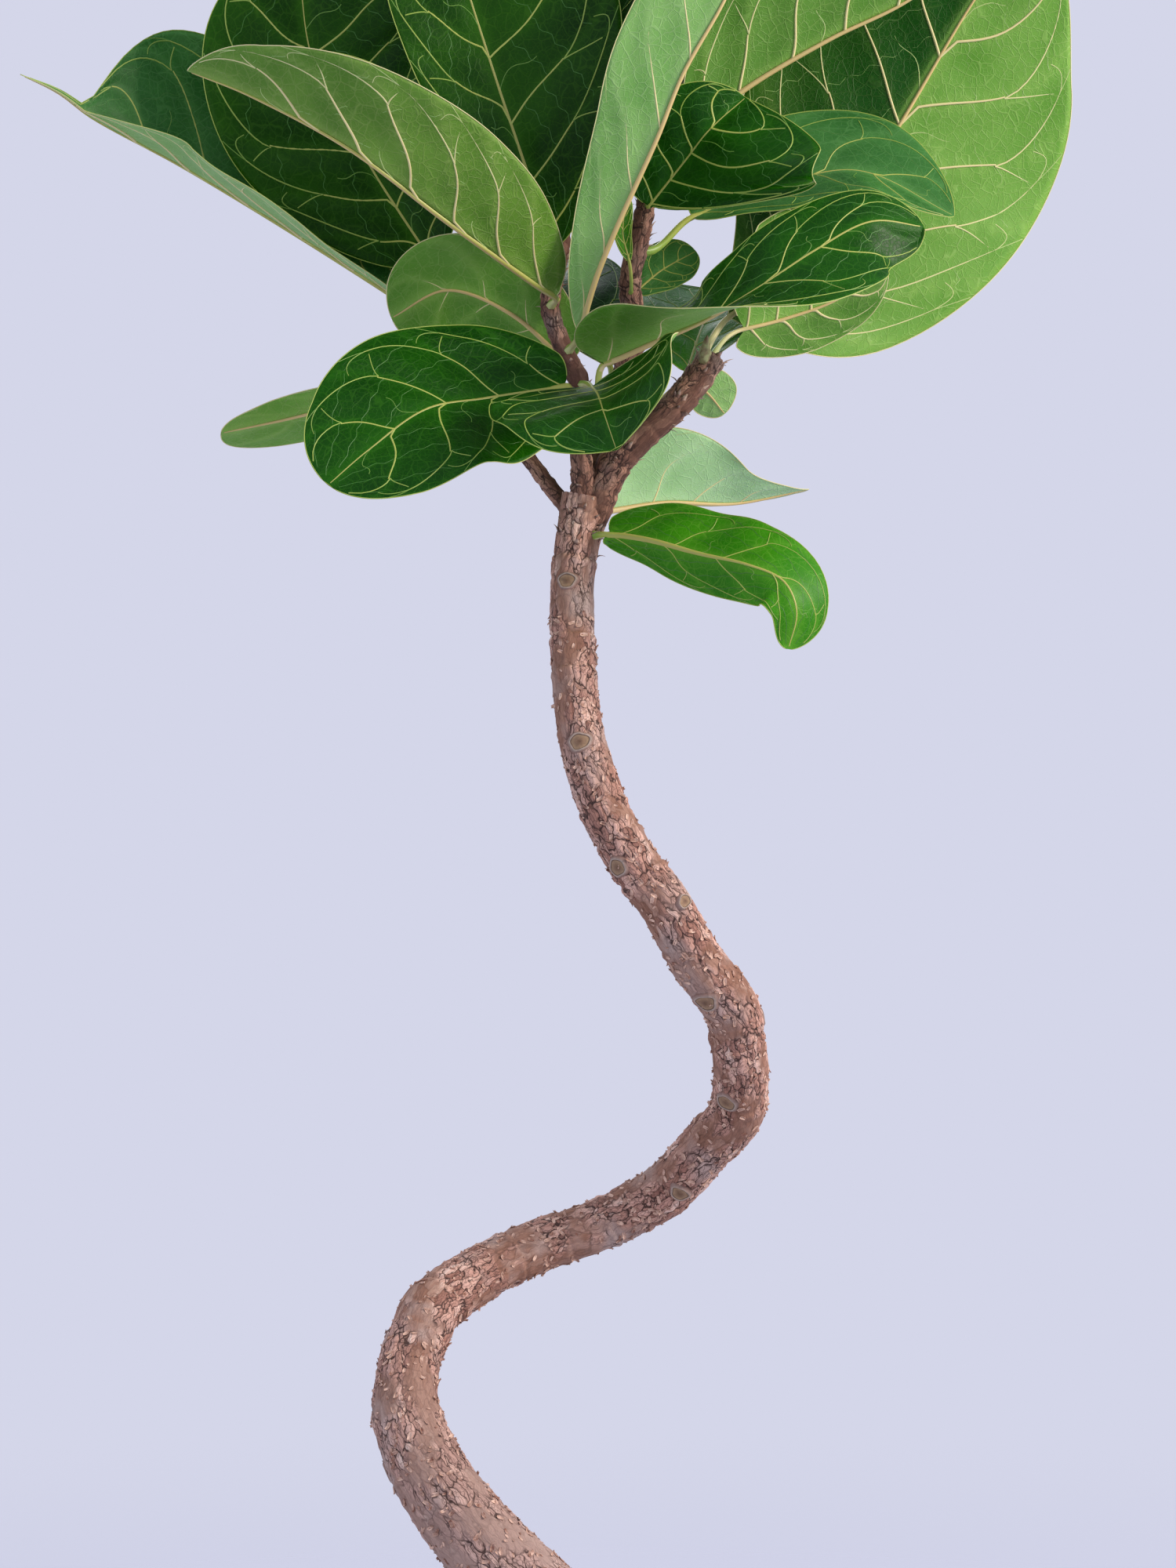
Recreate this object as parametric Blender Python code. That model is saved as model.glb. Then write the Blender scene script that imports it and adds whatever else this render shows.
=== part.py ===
"""A potted fiddle leaf fig: a tapered planter, potting mix, a corkscrew trunk with four short branches, and a crown of
large leaves. Metres, +Z up, the planter's base on z = 0, front towards -Y. The plant is described from the surface of
the potting mix, so a taller planter lifts all of it."""

import math

import bpy
import numpy as np

# Planter
POT_HEIGHT = 0.250
POT_TOP_RADIUS = 0.140
POT_BASE_RADIUS = 0.105
POT_WALL = 0.009
POT_FLOOR = 0.012
POT_EDGE = 0.002  # rounding of the rim and the foot
POT_SIDES = 48

# Potting mix
SOIL_DROP = 0.025  # from the rim down to the mix at the wall
SOIL_MOUND = 0.004
MOUND_TOP = 0.3  # half width of its flat top, as a share of the planter's base radius
MOUND_SIDE = 0.6
MOUND_SIDE_RISE = 0.7
GAP = 0.0003  # between pieces that touch

# Plant, in heights above the potting mix
PLANT_SCALE = 1.0
TRUNK_SIDES = 12
BRANCH_SIDES = 8
RING_STEP = 0.014
POCKET_RINGS = 14  # rings of the trunk that reach from its foot to clear of the mix

# Leaves
LEAF_SCALE = 1.0  # widths of all the blades
BLADE = 0.0010  # thickness
RIB = 0.0012  # how far the midrib stands out underneath
PETIOLE = 0.0021  # radius
STATIONS = (0.0, 0.025, 0.07, 0.15, 0.26, 0.38, 0.50, 0.62, 0.74, 0.85, 0.94, 0.985)
STALK_RINGS = (0.0, 0.3, 0.65)
STALK_BEND = 0.35  # how far a stalk runs straight at each end, as a share of its reach
STALK_FADE = 0.04  # share of the midrib over which the round stalk flattens into the blade
EAR_FADE = 0.10  # share of the midrib over which the lobes beside the stalk end
TIP = 9.0  # a leaf at this height leaves from the branch's end

# Centre lines: x, y, height above the mix, radius
BRANCHES = {
    "trunk": [
        (0.030, -0.020, -0.060, 0.0360),
        (0.030, -0.022, 0.000, 0.0360),
        (0.022, -0.040, 0.037, 0.0335),
        (-0.024, -0.070, 0.116, 0.0310),
        (-0.052, -0.080, 0.149, 0.0280),
        (-0.073, -0.078, 0.173, 0.0260),
        (-0.096, -0.065, 0.201, 0.0240),
        (-0.113, -0.040, 0.234, 0.0216),
        (-0.115, -0.024, 0.251, 0.0203),
        (-0.113, -0.008, 0.267, 0.0196),
        (-0.106, 0.012, 0.284, 0.0194),
        (-0.100, 0.026, 0.295, 0.0196),
        (-0.067, 0.062, 0.314, 0.0180),
        (-0.034, 0.083, 0.327, 0.0176),
        (0.003, 0.090, 0.339, 0.0170),
        (0.032, 0.086, 0.353, 0.0176),
        (0.054, 0.076, 0.368, 0.0178),
        (0.077, 0.054, 0.396, 0.0178),
        (0.095, 0.034, 0.418, 0.0178),
        (0.098, 0.014, 0.441, 0.0176),
        (0.095, -0.008, 0.468, 0.0176),
        (0.090, -0.026, 0.491, 0.0176),
        (0.067, -0.048, 0.524, 0.0166),
        (0.047, -0.058, 0.559, 0.0161),
        (0.033, -0.058, 0.577, 0.0158),
        (0.020, -0.055, 0.598, 0.0156),
        (0.009, -0.050, 0.619, 0.0153),
        (-0.004, -0.037, 0.661, 0.0147),
        (-0.009, -0.022, 0.707, 0.0143),
        (-0.010, -0.008, 0.757, 0.0139),
        (-0.007, -0.003, 0.784, 0.0141),
        (-0.004, 0.000, 0.800, 0.0152),
        (-0.001, 0.000, 0.816, 0.0160),
    ],
    "right": [
        (0.002, -0.001, 0.800, 0.0100),
        (0.017, -0.008, 0.836, 0.0110),
        (0.031, -0.012, 0.851, 0.0100),
        (0.053, -0.012, 0.870, 0.0095),
        (0.071, -0.005, 0.892, 0.0095),
        (0.079, 0.000, 0.905, 0.0085),
    ],
    "centre": [
        (-0.004, -0.002, 0.800, 0.0080),
        (-0.003, -0.008, 0.820, 0.0080),
        (-0.005, -0.018, 0.850, 0.0064),
        (-0.006, -0.016, 0.887, 0.0065),
        (-0.014, -0.010, 0.905, 0.0062),
        (-0.021, -0.006, 0.923, 0.0060),
        (-0.024, 0.000, 0.940, 0.0060),
        (-0.018, 0.000, 0.970, 0.0058),
        (-0.015, 0.000, 1.020, 0.0055),
        (-0.014, 0.002, 1.075, 0.0045),
    ],
    "back": [
        (0.000, 0.004, 0.800, 0.0090),
        (0.000, 0.008, 0.820, 0.0090),
        (0.012, 0.020, 0.865, 0.0080),
        (0.024, 0.030, 0.900, 0.0078),
        (0.030, 0.030, 0.925, 0.0075),
        (0.027, 0.022, 0.955, 0.0070),
        (0.032, 0.015, 0.980, 0.0070),
        (0.038, 0.012, 1.010, 0.0060),
        (0.045, 0.020, 1.075, 0.0045),
    ],
    "left": [
        (-0.006, 0.002, 0.803, 0.0062),
        (-0.018, 0.007, 0.815, 0.0056),
        (-0.033, 0.010, 0.834, 0.0050),
        (-0.060, 0.030, 0.875, 0.0048),
        (-0.085, 0.045, 0.925, 0.0046),
        (-0.099, 0.049, 0.960, 0.0045),
    ],
}

# Stubs of cut twigs: a point on the trunk's axis, a direction, radius, how far it stands out of the bark
STUBS = [
    ((0.060, 0.070, 0.376), (0.25, -0.45, -0.85), 0.0060, 0.0030),
    ((-0.040, 0.079, 0.325), (-0.10, -0.50, -0.86), 0.0050, 0.0025),
    ((0.049, -0.058, 0.556), (0.75, -0.60, 0.25), 0.0048, 0.0020),
]

# Outline of a bud: share of its length, share of its radius
BUD_OUTLINE = ((0.0, 0.55), (0.15, 0.9), (0.35, 1.0), (0.6, 0.75), (0.85, 0.35))

# Buds: branch, height (or TIP), the way it points, length, radius
BUDS = {
    "bud_centre": ("centre", TIP, (-0.02, -0.05, 1.0), 0.022, 0.0032),
    "bud_back": ("back", 1.020, (-0.75, -0.75, 0.5), 0.013, 0.0032),
    "bud_right": ("right", 0.897, (0.10, -0.75, 0.75), 0.022, 0.0050),
}

# Leaves: where the stalk leaves its branch, the midrib from the blade's base to its tip, which way the upper side faces,
# and for the half on either side of the midrib: fold at the base and at the tip in degrees, further curl to the margin,
# half width, two exponents of the outline (a small first one is broad near the base, a small second one has a round tip)
# and how far the margin is swept towards the tip.
LEAVES = {
    "leaf_left_long": dict(
        branch="left", height=0.915,
        midrib=[(-0.103, 0.051, 0.936), (-0.183, 0.056, 0.987), (-0.265, 0.056, 1.036),
                (-0.319, 0.03, 1.062), (-0.34, 0.015, 1.076), (-0.362, 0, 1.085)],
        face=[(0.3, -0.1, 1)],
        plus=(56, 66, 10, 0.088, 1.3, 0.55),
        minus=(3, 11, 8, 0.055, 0.9, 0.8),
        tail=0.16),
    "leaf_left_broad": dict(
        branch="left", height=TIP,
        midrib=[(-0.102, 0.048, 0.973), (-0.141, 0.046, 1.033), (-0.178, 0.04, 1.1), (-0.187, 0.02, 1.172)],
        face=[(0, -1, 0.1), (0, -1, 0.3)],
        plus=(12, 8, 8, 0.088, 0.7, 0.45),
        minus=(4, 3, 4, 0.076, 0.7, 0.55)),
    "leaf_left_folded": dict(
        branch="centre", height=0.935,
        midrib=[(-0.022, -0.03, 0.94), (-0.085, -0.09, 0.977), (-0.145, -0.125, 1.017),
                (-0.204, -0.12, 1.049), (-0.244, -0.105, 1.067)],
        face=[(0.54, 0, 0.84), (0.45, -0.1, 0.9)],
        plus=(50, 48, 15, 0.068, 0.62, 0.62),
        minus=(74, 50, 15, 0.06, 0.6, 0.75)),
    "leaf_centre_tall": dict(
        branch="centre", height=0.953,
        midrib=[(-0.022, -0.012, 0.972), (-0.045, -0.018, 1.039), (-0.064, -0.02, 1.096),
                (-0.082, -0.025, 1.157), (-0.086, -0.045, 1.201)],
        face=[(0, -1, 0.1), (0, -1, 0.3)],
        plus=(10, 4, 8, 0.09, 0.8, 0.5),
        minus=(10, 4, 8, 0.052, 0.9, 0.45)),
    "leaf_centre_narrow": dict(
        branch="centre", height=0.905,
        midrib=[(-0.005, -0.034, 0.916), (0.005, -0.048, 0.948), (0.019, -0.058, 0.981), (0.043, -0.064, 1.033),
                (0.059, -0.062, 1.073), (0.085, -0.058, 1.12), (0.128, -0.04, 1.217)],
        face=[(-0.63, 0.7, 0.3)],
        plus=(42, 40, 8, 0.05, 0.75, 0.32),
        minus=(78, 70, 8, 0.045, 0.75, 0.5)),
    "leaf_right_dark": dict(
        branch="back", height=1.003,
        midrib=[(0.039, 0, 1.001), (0.062, -0.008, 1.029), (0.077, -0.016, 1.047), (0.1, -0.012, 1.068)],
        face=[(-0.2, -1, 0.3)],
        plus=(0, 5, 10, 0.085, 0.75, 1, 0.045),
        minus=(15, 20, 15, 0.04, 0.45, 0.6),
        ear=0.003),
    "leaf_right_folded": dict(
        branch="back", height=1.014,
        midrib=[(0.067, 0.028, 1.053), (0.103, 0.034, 1.083), (0.157, 0.036, 1.115),
                (0.206, 0.036, 1.139), (0.263, 0.03, 1.179)],
        face=[(-0.5, 0, 0.87)],
        plus=(78, 60, 10, 0.075, 0.7, 0.45),
        minus=(72, 60, 10, 0.055, 0.7, 0.45)),
    "leaf_right_broad": dict(
        branch="right", height=0.903,
        midrib=[(0.091, 0.03, 0.934), (0.152, 0.08, 0.984), (0.202, 0.1, 1.062),
                (0.247, 0.1, 1.138), (0.273, 0.09, 1.18), (0.286, 0.07, 1.212)],
        face=[(0, 1, 0.1)],
        plus=(5, 5, 8, 0.104, 1, 0.8),
        minus=(5, 5, 8, 0.114, 1, 0.9)),
    "leaf_right_blue": dict(
        branch="back", height=0.975,
        midrib=[(0.068, 0.03, 0.999), (0.115, 0.042, 1.019), (0.176, 0.045, 1.031), (0.237, 0.035, 1)],
        face=[(0, -0.7, 0.7), (0.3, -0.7, 0.6)],
        plus=(10, 10, 10, 0.04, 0.7, 0.7),
        minus=(10, 10, 10, 0.05, 0.7, 0.75)),
    "leaf_right_long": dict(
        branch="centre", height=0.862,
        midrib=[(0.011, -0.024, 0.898), (0.044, -0.05, 0.91), (0.073, -0.068, 0.921), (0.105, -0.075, 0.939),
                (0.141, -0.07, 0.963), (0.176, -0.06, 0.982), (0.21, -0.045, 0.981)],
        face=[(-0.2, -0.6, 0.8), (0, -0.8, 0.6)],
        plus=(62, -45, 25, 0.05, 0.25, 0.4),
        minus=(-5, 5, 10, 0.038, 0.42, 0.5),
        ear=0.008),
    "leaf_right_pale": dict(
        branch="right", height=TIP,
        midrib=[(0.1, 0.02, 0.925), (0.127, 0.03, 0.933), (0.161, 0.035, 0.946), (0.192, 0.03, 0.967)],
        face=[(0, 0.9, 0.4)],
        plus=(5, 5, 10, 0.067, 0.4, 0.45),
        minus=(5, 5, 10, 0.028, 0.35, 0.5)),
    "leaf_front_left": dict(
        branch="centre", height=0.873,
        midrib=[(-0.014, -0.03, 0.883), (-0.064, -0.052, 0.873), (-0.1, -0.082, 0.863),
                (-0.134, -0.11, 0.835), (-0.157, -0.125, 0.813)],
        face=[(0, -0.85, 0.5), (0, -0.9, 0.4)],
        plus=(3, 3, 8, 0.06, 0.42, 0.45),
        minus=(3, 3, 8, 0.06, 0.42, 0.45),
        ear=0.012),
    "leaf_front_droop": dict(
        branch="centre", height=0.884,
        midrib=[(0.002, -0.045, 0.881), (0.006, -0.085, 0.872), (0.01, -0.13, 0.855), (0.017, -0.15, 0.832)],
        face=[(-0.2, -0.25, 1), (-0.2, -0.6, 0.7)],
        plus=(5, 5, 5, 0.068, 0.5, 0.5),
        minus=(5, 15, 40, 0.064, 0.6, 0.45),
        ear=0.002),
    "leaf_low_right": dict(
        branch="trunk", height=0.790,
        midrib=[(0.013, -0.02, 0.79), (0.039, -0.035, 0.785), (0.069, -0.05, 0.776), (0.1, -0.065, 0.768),
                (0.121, -0.07, 0.758), (0.129, -0.072, 0.739), (0.124, -0.068, 0.716)],
        face=[(0, -0.75, 0.65), (0.5, -0.75, 0.3)],
        plus=(-85, -20, 0, 0.024, 0.4, 0.45),
        minus=(5, 0, 0, 0.038, 0.33, 0.5)),
    "leaf_low_behind": dict(
        branch="trunk", height=0.797,
        midrib=[(0.013, 0.05, 0.81), (0.052, 0.08, 0.818), (0.099, 0.11, 0.82), (0.148, 0.12, 0.83)],
        face=[(0, 0.3, 0.95)],
        plus=(78, 10, 10, 0.05, 0.5, 1.2),
        minus=(20, 10, 10, 0.035, 0.5, 0.8)),
    "leaf_low_left": dict(
        branch="left", height=0.862,
        midrib=[(-0.076, 0.045, 0.882), (-0.144, 0.07, 0.884), (-0.206, 0.075, 0.871), (-0.24, 0.06, 0.862)],
        face=[(0, 0.7, 0.7)],
        plus=(10, 10, 10, 0.03, 0.9, 0.5),
        minus=(10, 10, 10, 0.016, 0.9, 0.5)),
    "leaf_left_light": dict(
        branch="centre", height=0.878,
        midrib=[(-0.014, 0.01, 0.903), (-0.05, 0.01, 0.934), (-0.09, 0.004, 0.948), (-0.125, -0.006, 0.929)],
        face=[(0, 0.9, 0.3)],
        plus=(5, 5, 8, 0.04, 0.5, 0.45),
        minus=(5, 5, 8, 0.038, 0.5, 0.5)),
    "leaf_right_small": dict(
        branch="right", height=0.846,
        midrib=[(0.066, 0.008, 0.888), (0.076, 0.016, 0.884), (0.088, 0.024, 0.871)],
        face=[(0, 1, 0.2)],
        plus=(5, 5, 8, 0.018, 0.6, 0.5),
        minus=(5, 5, 8, 0.014, 0.6, 0.5),
        ear=0.001),
    "leaf_gap_small": dict(
        branch="back", height=0.912,
        midrib=[(0.033, 0.036, 0.953), (0.048, 0.042, 0.966), (0.07, 0.048, 0.979)],
        face=[(0, -0.9, 0.4)],
        plus=(5, 5, 8, 0.018, 0.6, 0.5),
        minus=(5, 5, 8, 0.018, 0.6, 0.5)),
    "leaf_young": dict(
        branch="back", height=0.950,
        midrib=[(0.026, -0.005, 0.966), (0.022, -0.01, 0.983), (0.025, -0.01, 1.005)],
        face=[(0, -1, 0.1)],
        plus=(20, 20, 8, 0.006, 0.6, 0.5),
        minus=(20, 20, 8, 0.006, 0.6, 0.5),
        ear=0.001),
    "leaf_left_upper": dict(
        branch="centre", height=0.965,
        midrib=[(-0.056, 0.06, 1.012), (-0.099, 0.11, 1.088), (-0.129, 0.13, 1.16), (-0.147, 0.12, 1.226)],
        face=[(0, -1, 0.2)],
        plus=(10, 8, 8, 0.036, 1, 0.45),
        minus=(10, 8, 8, 0.055, 0.8, 0.45)),
    "leaf_top_left": dict(
        branch="centre", height=1.035,
        midrib=[(-0.036, 0.012, 1.065), (-0.08, 0.04, 1.155), (-0.125, 0.045, 1.225)],
        face=[(0.5, -0.3, 0.8)],
        plus=(12, 8, 10, 0.042, 0.75, 0.45),
        minus=(12, 8, 10, 0.042, 0.75, 0.45)),
    "leaf_top_front": dict(
        branch="centre", height=1.048,
        midrib=[(-0.008, -0.01, 1.09), (0.01, -0.004, 1.175), (0.016, -0.008, 1.25)],
        face=[(0, -1, 0.2)],
        plus=(12, 8, 10, 0.045, 0.75, 0.45),
        minus=(12, 8, 10, 0.045, 0.75, 0.45)),
    "leaf_top_right": dict(
        branch="back", height=1.060,
        midrib=[(0.054, 0.042, 1.075), (0.08, 0.088, 1.16), (0.105, 0.12, 1.235)],
        face=[(-0.4, -0.6, 0.5)],
        plus=(12, 8, 10, 0.05, 0.75, 0.45),
        minus=(12, 8, 10, 0.05, 0.75, 0.45)),
    "leaf_top_back": dict(
        branch="back", height=TIP,
        midrib=[(0.046, 0.035, 1.09), (0.038, 0.085, 1.175), (0.025, 0.13, 1.245)],
        face=[(0, -0.8, 0.6)],
        plus=(12, 8, 10, 0.052, 0.75, 0.45),
        minus=(12, 8, 10, 0.052, 0.75, 0.45)),
    "leaf_top_young": dict(
        branch="centre", height=1.058,
        midrib=[(-0.026, 0.022, 1.087), (-0.035, 0.055, 1.175), (-0.055, 0.08, 1.245)],
        face=[(0.2, -0.9, 0.4)],
        plus=(12, 8, 10, 0.042, 0.75, 0.45),
        minus=(12, 8, 10, 0.042, 0.75, 0.45)),
    "leaf_back_left": dict(
        branch="centre", height=1.015,
        midrib=[(-0.03, 0.028, 1.03), (-0.042, 0.095, 1.105), (-0.052, 0.15, 1.155)],
        face=[(0.2, -0.6, 0.8)],
        plus=(12, 8, 10, 0.058, 0.75, 0.45),
        minus=(12, 8, 10, 0.058, 0.75, 0.45)),
    "leaf_back_far_left": dict(
        branch="left", height=0.940,
        midrib=[(-0.112, 0.075, 0.963), (-0.148, 0.13, 1.014), (-0.185, 0.175, 1.034)],
        face=[(0.2, -0.2, 0.95)],
        plus=(12, 8, 10, 0.055, 0.75, 0.45),
        minus=(12, 8, 10, 0.055, 0.75, 0.45)),
    "leaf_back_centre": dict(
        branch="back", height=0.893,
        midrib=[(0.014, 0.05, 0.905), (-0.02, 0.11, 0.96), (-0.055, 0.17, 0.985)],
        face=[(0, -0.3, 0.9)],
        plus=(12, 8, 10, 0.05, 0.75, 0.45),
        minus=(12, 8, 10, 0.05, 0.75, 0.45)),
    "leaf_back_right": dict(
        branch="back", height=0.986,
        midrib=[(0.042, 0.056, 1.013), (0.046, 0.115, 1.075), (0.05, 0.175, 1.12)],
        face=[(-0.1, -0.5, 0.9)],
        plus=(12, 8, 10, 0.05, 0.75, 0.45),
        minus=(12, 8, 10, 0.05, 0.75, 0.45)),
    "leaf_back_low": dict(
        branch="left", height=0.842,
        midrib=[(-0.056, 0.05, 0.867), (-0.095, 0.105, 0.92), (-0.135, 0.15, 0.93)],
        face=[(0, -0.2, 1)],
        plus=(12, 8, 10, 0.036, 0.75, 0.45),
        minus=(12, 8, 10, 0.036, 0.75, 0.45)),
    "leaf_back_upper_right": dict(
        branch="back", height=1.042,
        midrib=[(0.06, 0.055, 1.06), (0.105, 0.14, 1.135), (0.145, 0.195, 1.175)],
        face=[(-0.4, -0.3, 0.85)],
        plus=(12, 8, 10, 0.042, 0.75, 0.45),
        minus=(12, 8, 10, 0.042, 0.75, 0.45)),
    "leaf_top_far_left": dict(
        branch="left", height=0.951,
        midrib=[(-0.112, 0.068, 0.99), (-0.15, 0.105, 1.065), (-0.19, 0.12, 1.135)],
        face=[(0.6, -0.4, 0.6)],
        plus=(12, 8, 10, 0.045, 0.75, 0.45),
        minus=(12, 8, 10, 0.045, 0.75, 0.45)),
    "leaf_back_right_low": dict(
        branch="right", height=0.872,
        midrib=[(0.064, 0.036, 0.900), (0.078, 0.092, 0.940), (0.096, 0.15, 0.965)],
        face=[(0, -0.3, 0.9)],
        plus=(12, 8, 10, 0.048, 0.75, 0.45),
        minus=(12, 8, 10, 0.048, 0.75, 0.45)),
}

EAR = 0.008  # how far a blade's base lobes reach back along the stalk
SHORT_STALK = 0.018  # a stalk below this length is straight
FULL_FOLD = 0.024  # a blade is as good as flat where it is narrow, and has its full fold from this half width
SOIL_TOP = POT_HEIGHT - SOIL_DROP


def unit(v):
    return v / np.linalg.norm(v)


def plant(point):
    """A point of the plant, from its place above the potting mix to the world."""
    return np.array(point[:3], float) * PLANT_SCALE + np.array([0, 0, SOIL_TOP])


def curve(points, t):
    """A smooth line through all the points; t runs from 0 to 1 by distance between them."""
    p = np.array(points, float)
    gaps = np.linalg.norm(np.diff(p[:, :3], axis=0), axis=1)
    knots = np.concatenate([[0], np.cumsum(gaps)]) / gaps.sum()
    i = int(np.clip(np.searchsorted(knots, t) - 1, 0, len(p) - 2))
    span = knots[i + 1] - knots[i]
    u = (t - knots[i]) / span

    def slope(j):
        a = max(j - 1, 0)
        b = min(j + 1, len(p) - 1)
        return (p[b] - p[a]) / (knots[b] - knots[a]) * span

    return (
        (2 * u**3 - 3 * u**2 + 1) * p[i]
        + (u**3 - 2 * u**2 + u) * slope(i)
        + (3 * u**2 - 2 * u**3) * p[i + 1]
        + (u**3 - u**2) * slope(i + 1)
    )


def make_object(name, verts, faces, color, rough):
    mesh = bpy.data.meshes.new(name)
    mesh.from_pydata([tuple(v) for v in verts], [], faces)
    mesh.validate()
    mesh.update()
    for face in mesh.polygons:
        face.use_smooth = True
    obj = bpy.data.objects.new(name, mesh)
    bpy.context.collection.objects.link(obj)
    material = bpy.data.materials.new(name)
    material.use_nodes = True
    shader = material.node_tree.nodes["Principled BSDF"]
    shader.inputs["Base Color"].default_value = (*color, 1)
    shader.inputs["Roughness"].default_value = rough
    mesh.materials.append(material)
    return obj


def helper(obj):
    obj.hide_render = True
    obj.display_type = "WIRE"


def boolean(obj, other, operation):
    mod = obj.modifiers.new(operation.lower(), "BOOLEAN")
    mod.operation = operation
    mod.solver = "EXACT"
    mod.object = other


def loft(rings, tip=None):
    """Closed body from equal rings, with flat ends, or a point instead of the last flat end. Warped faces are split
    along the same diagonal on both halves of a ring, so that the two sides of a thin blade stay apart."""
    n = len(rings[0])
    verts = [v for ring in rings for v in ring]
    faces = [tuple(reversed(range(n)))]
    for k in range(len(rings) - 1):
        for j in range(n):
            a = k * n + j
            b = k * n + (j + 1) % n
            if j < n // 2:
                faces += [(a, b, b + n), (a, b + n, a + n)]
            else:
                faces += [(a, b, a + n), (b, b + n, a + n)]
    last = (len(rings) - 1) * n
    if tip is None:
        faces.append(tuple(range(last, last + n)))
    else:
        verts.append(tip)
        faces += [(last + j, last + (j + 1) % n, len(verts) - 1) for j in range(n)]
    return verts, faces


def tube_rings(line, sides, grow=0.0):
    """Rings along a centre line, turned no more than the line turns."""
    points = [(*plant(p), p[3] * PLANT_SCALE) for p in line]
    length = np.linalg.norm(np.diff(np.array(points)[:, :3], axis=0), axis=1).sum()
    count = max(int(length / RING_STEP), 3)
    rings = []
    across = np.array([1.0, 0.0, 0.0])
    for k in range(count + 1):
        t = k / count
        here = curve(points, t)
        ahead = unit((curve(points, min(t + 0.002, 1)) - curve(points, max(t - 0.002, 0)))[:3])
        across = unit(across - ahead * np.dot(across, ahead))
        side = np.cross(ahead, across)
        turns = [2 * math.pi * j / sides for j in range(sides)]
        radius = here[3] + grow
        rings.append([here[:3] + radius * (across * math.cos(a) + side * math.sin(a)) for a in turns])
    return rings


def lathe(profile, sides):
    """Turns (radius, height) points about Z; the first and last are on the axis."""
    inner = profile[1:-1]
    verts = []
    for r, z in inner:
        verts += [(r * math.cos(a), r * math.sin(a), z) for a in np.arange(sides) * 2 * math.pi / sides]
    faces = []
    for k in range(len(inner) - 1):
        for j in range(sides):
            a = k * sides + j
            b = k * sides + (j + 1) % sides
            faces.append((a, b, b + sides, a + sides))
    first = len(verts)
    verts.append((0, 0, profile[0][1]))
    verts.append((0, 0, profile[-1][1]))
    last = (len(inner) - 1) * sides
    for j in range(sides):
        k = (j + 1) % sides
        faces.append((k, j, first))
        faces.append((last + j, last + k, first + 1))
    return verts, faces


def wall_radius(z):
    """Outer radius of the planter at a height."""
    return POT_BASE_RADIUS + (POT_TOP_RADIUS - POT_BASE_RADIUS) * z / POT_HEIGHT


def build_pot():
    e = POT_EDGE
    inner_top = POT_TOP_RADIUS - POT_WALL
    profile = [
        (0, 0),
        (POT_BASE_RADIUS - e, 0),
        (wall_radius(e), e),
        (wall_radius(POT_HEIGHT - e), POT_HEIGHT - e),
        (POT_TOP_RADIUS - e, POT_HEIGHT),
        (inner_top + e, POT_HEIGHT),
        (wall_radius(POT_HEIGHT - e) - POT_WALL, POT_HEIGHT - e),
        (wall_radius(POT_FLOOR) - POT_WALL, POT_FLOOR),
        (0, POT_FLOOR),
    ]
    verts, faces = lathe(profile, POT_SIDES)
    return make_object("pot", verts, faces, (0.80, 0.79, 0.77), 0.35)


def build_soil():
    gap = GAP / math.cos(math.pi / POT_SIDES)
    low = POT_FLOOR + GAP
    profile = [
        (0, low),
        (wall_radius(low) - POT_WALL - gap, low),
        (wall_radius(SOIL_TOP) - POT_WALL - gap, SOIL_TOP),
        (MOUND_SIDE * POT_BASE_RADIUS, SOIL_TOP + MOUND_SIDE_RISE * SOIL_MOUND),
        (MOUND_TOP * POT_BASE_RADIUS, SOIL_TOP + SOIL_MOUND),
        (0, SOIL_TOP + SOIL_MOUND),
    ]
    verts, faces = lathe(profile, POT_SIDES)
    soil = make_object("soil", verts, faces, (0.06, 0.04, 0.03), 0.95)
    rings = tube_rings(BRANCHES["trunk"], TRUNK_SIDES, grow=GAP * 1.5)
    rings = [[p - np.array([0, 0, GAP]) for p in rings[0]]] + rings[1:POCKET_RINGS]
    pocket = make_object("pocket", *loft(rings), (0, 0, 0), 1)
    helper(pocket)
    boolean(soil, pocket, "DIFFERENCE")


def build_trunk():
    trunk = make_object("trunk", *loft(tube_rings(BRANCHES["trunk"], TRUNK_SIDES)), (0.35, 0.21, 0.15), 0.85)
    for name in ("right", "centre", "back", "left"):
        limb = make_object("limb_" + name, *loft(tube_rings(BRANCHES[name], BRANCH_SIDES)), (0.35, 0.21, 0.15), 0.85)
        helper(limb)
        boolean(trunk, limb, "UNION")
    for k, (centre, towards, radius, proud) in enumerate(STUBS):
        start = np.array(centre, float)
        end = start + unit(np.array(towards)) * (trunk_radius(centre[2]) + proud)
        stub = make_object("stub_%d" % k, *loft(tube_rings([(*start, radius), (*end, radius * 0.9)], 8)),
                           (0.35, 0.21, 0.15), 0.85)
        helper(stub)
        boolean(trunk, stub, "UNION")


def trunk_radius(height):
    line = BRANCHES["trunk"]
    return float(np.interp(height, [p[2] for p in line], [p[3] for p in line]))


def on_branch(name, height):
    """World point, direction and radius of a branch where its axis is at a height."""
    points = [(*plant(p), p[3] * PLANT_SCALE) for p in BRANCHES[name]]
    low, high = 0.0, 1.0
    for _ in range(30):
        mid = (low + high) / 2
        if curve(points, mid)[2] < height * PLANT_SCALE + SOIL_TOP:
            low = mid
        else:
            high = mid
    t = min(low, 0.999)
    here = curve(points, t)
    ahead = unit((curve(points, min(t + 0.002, 1)) - curve(points, max(t - 0.002, 0)))[:3])
    return here[:3], ahead, here[3]


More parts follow.
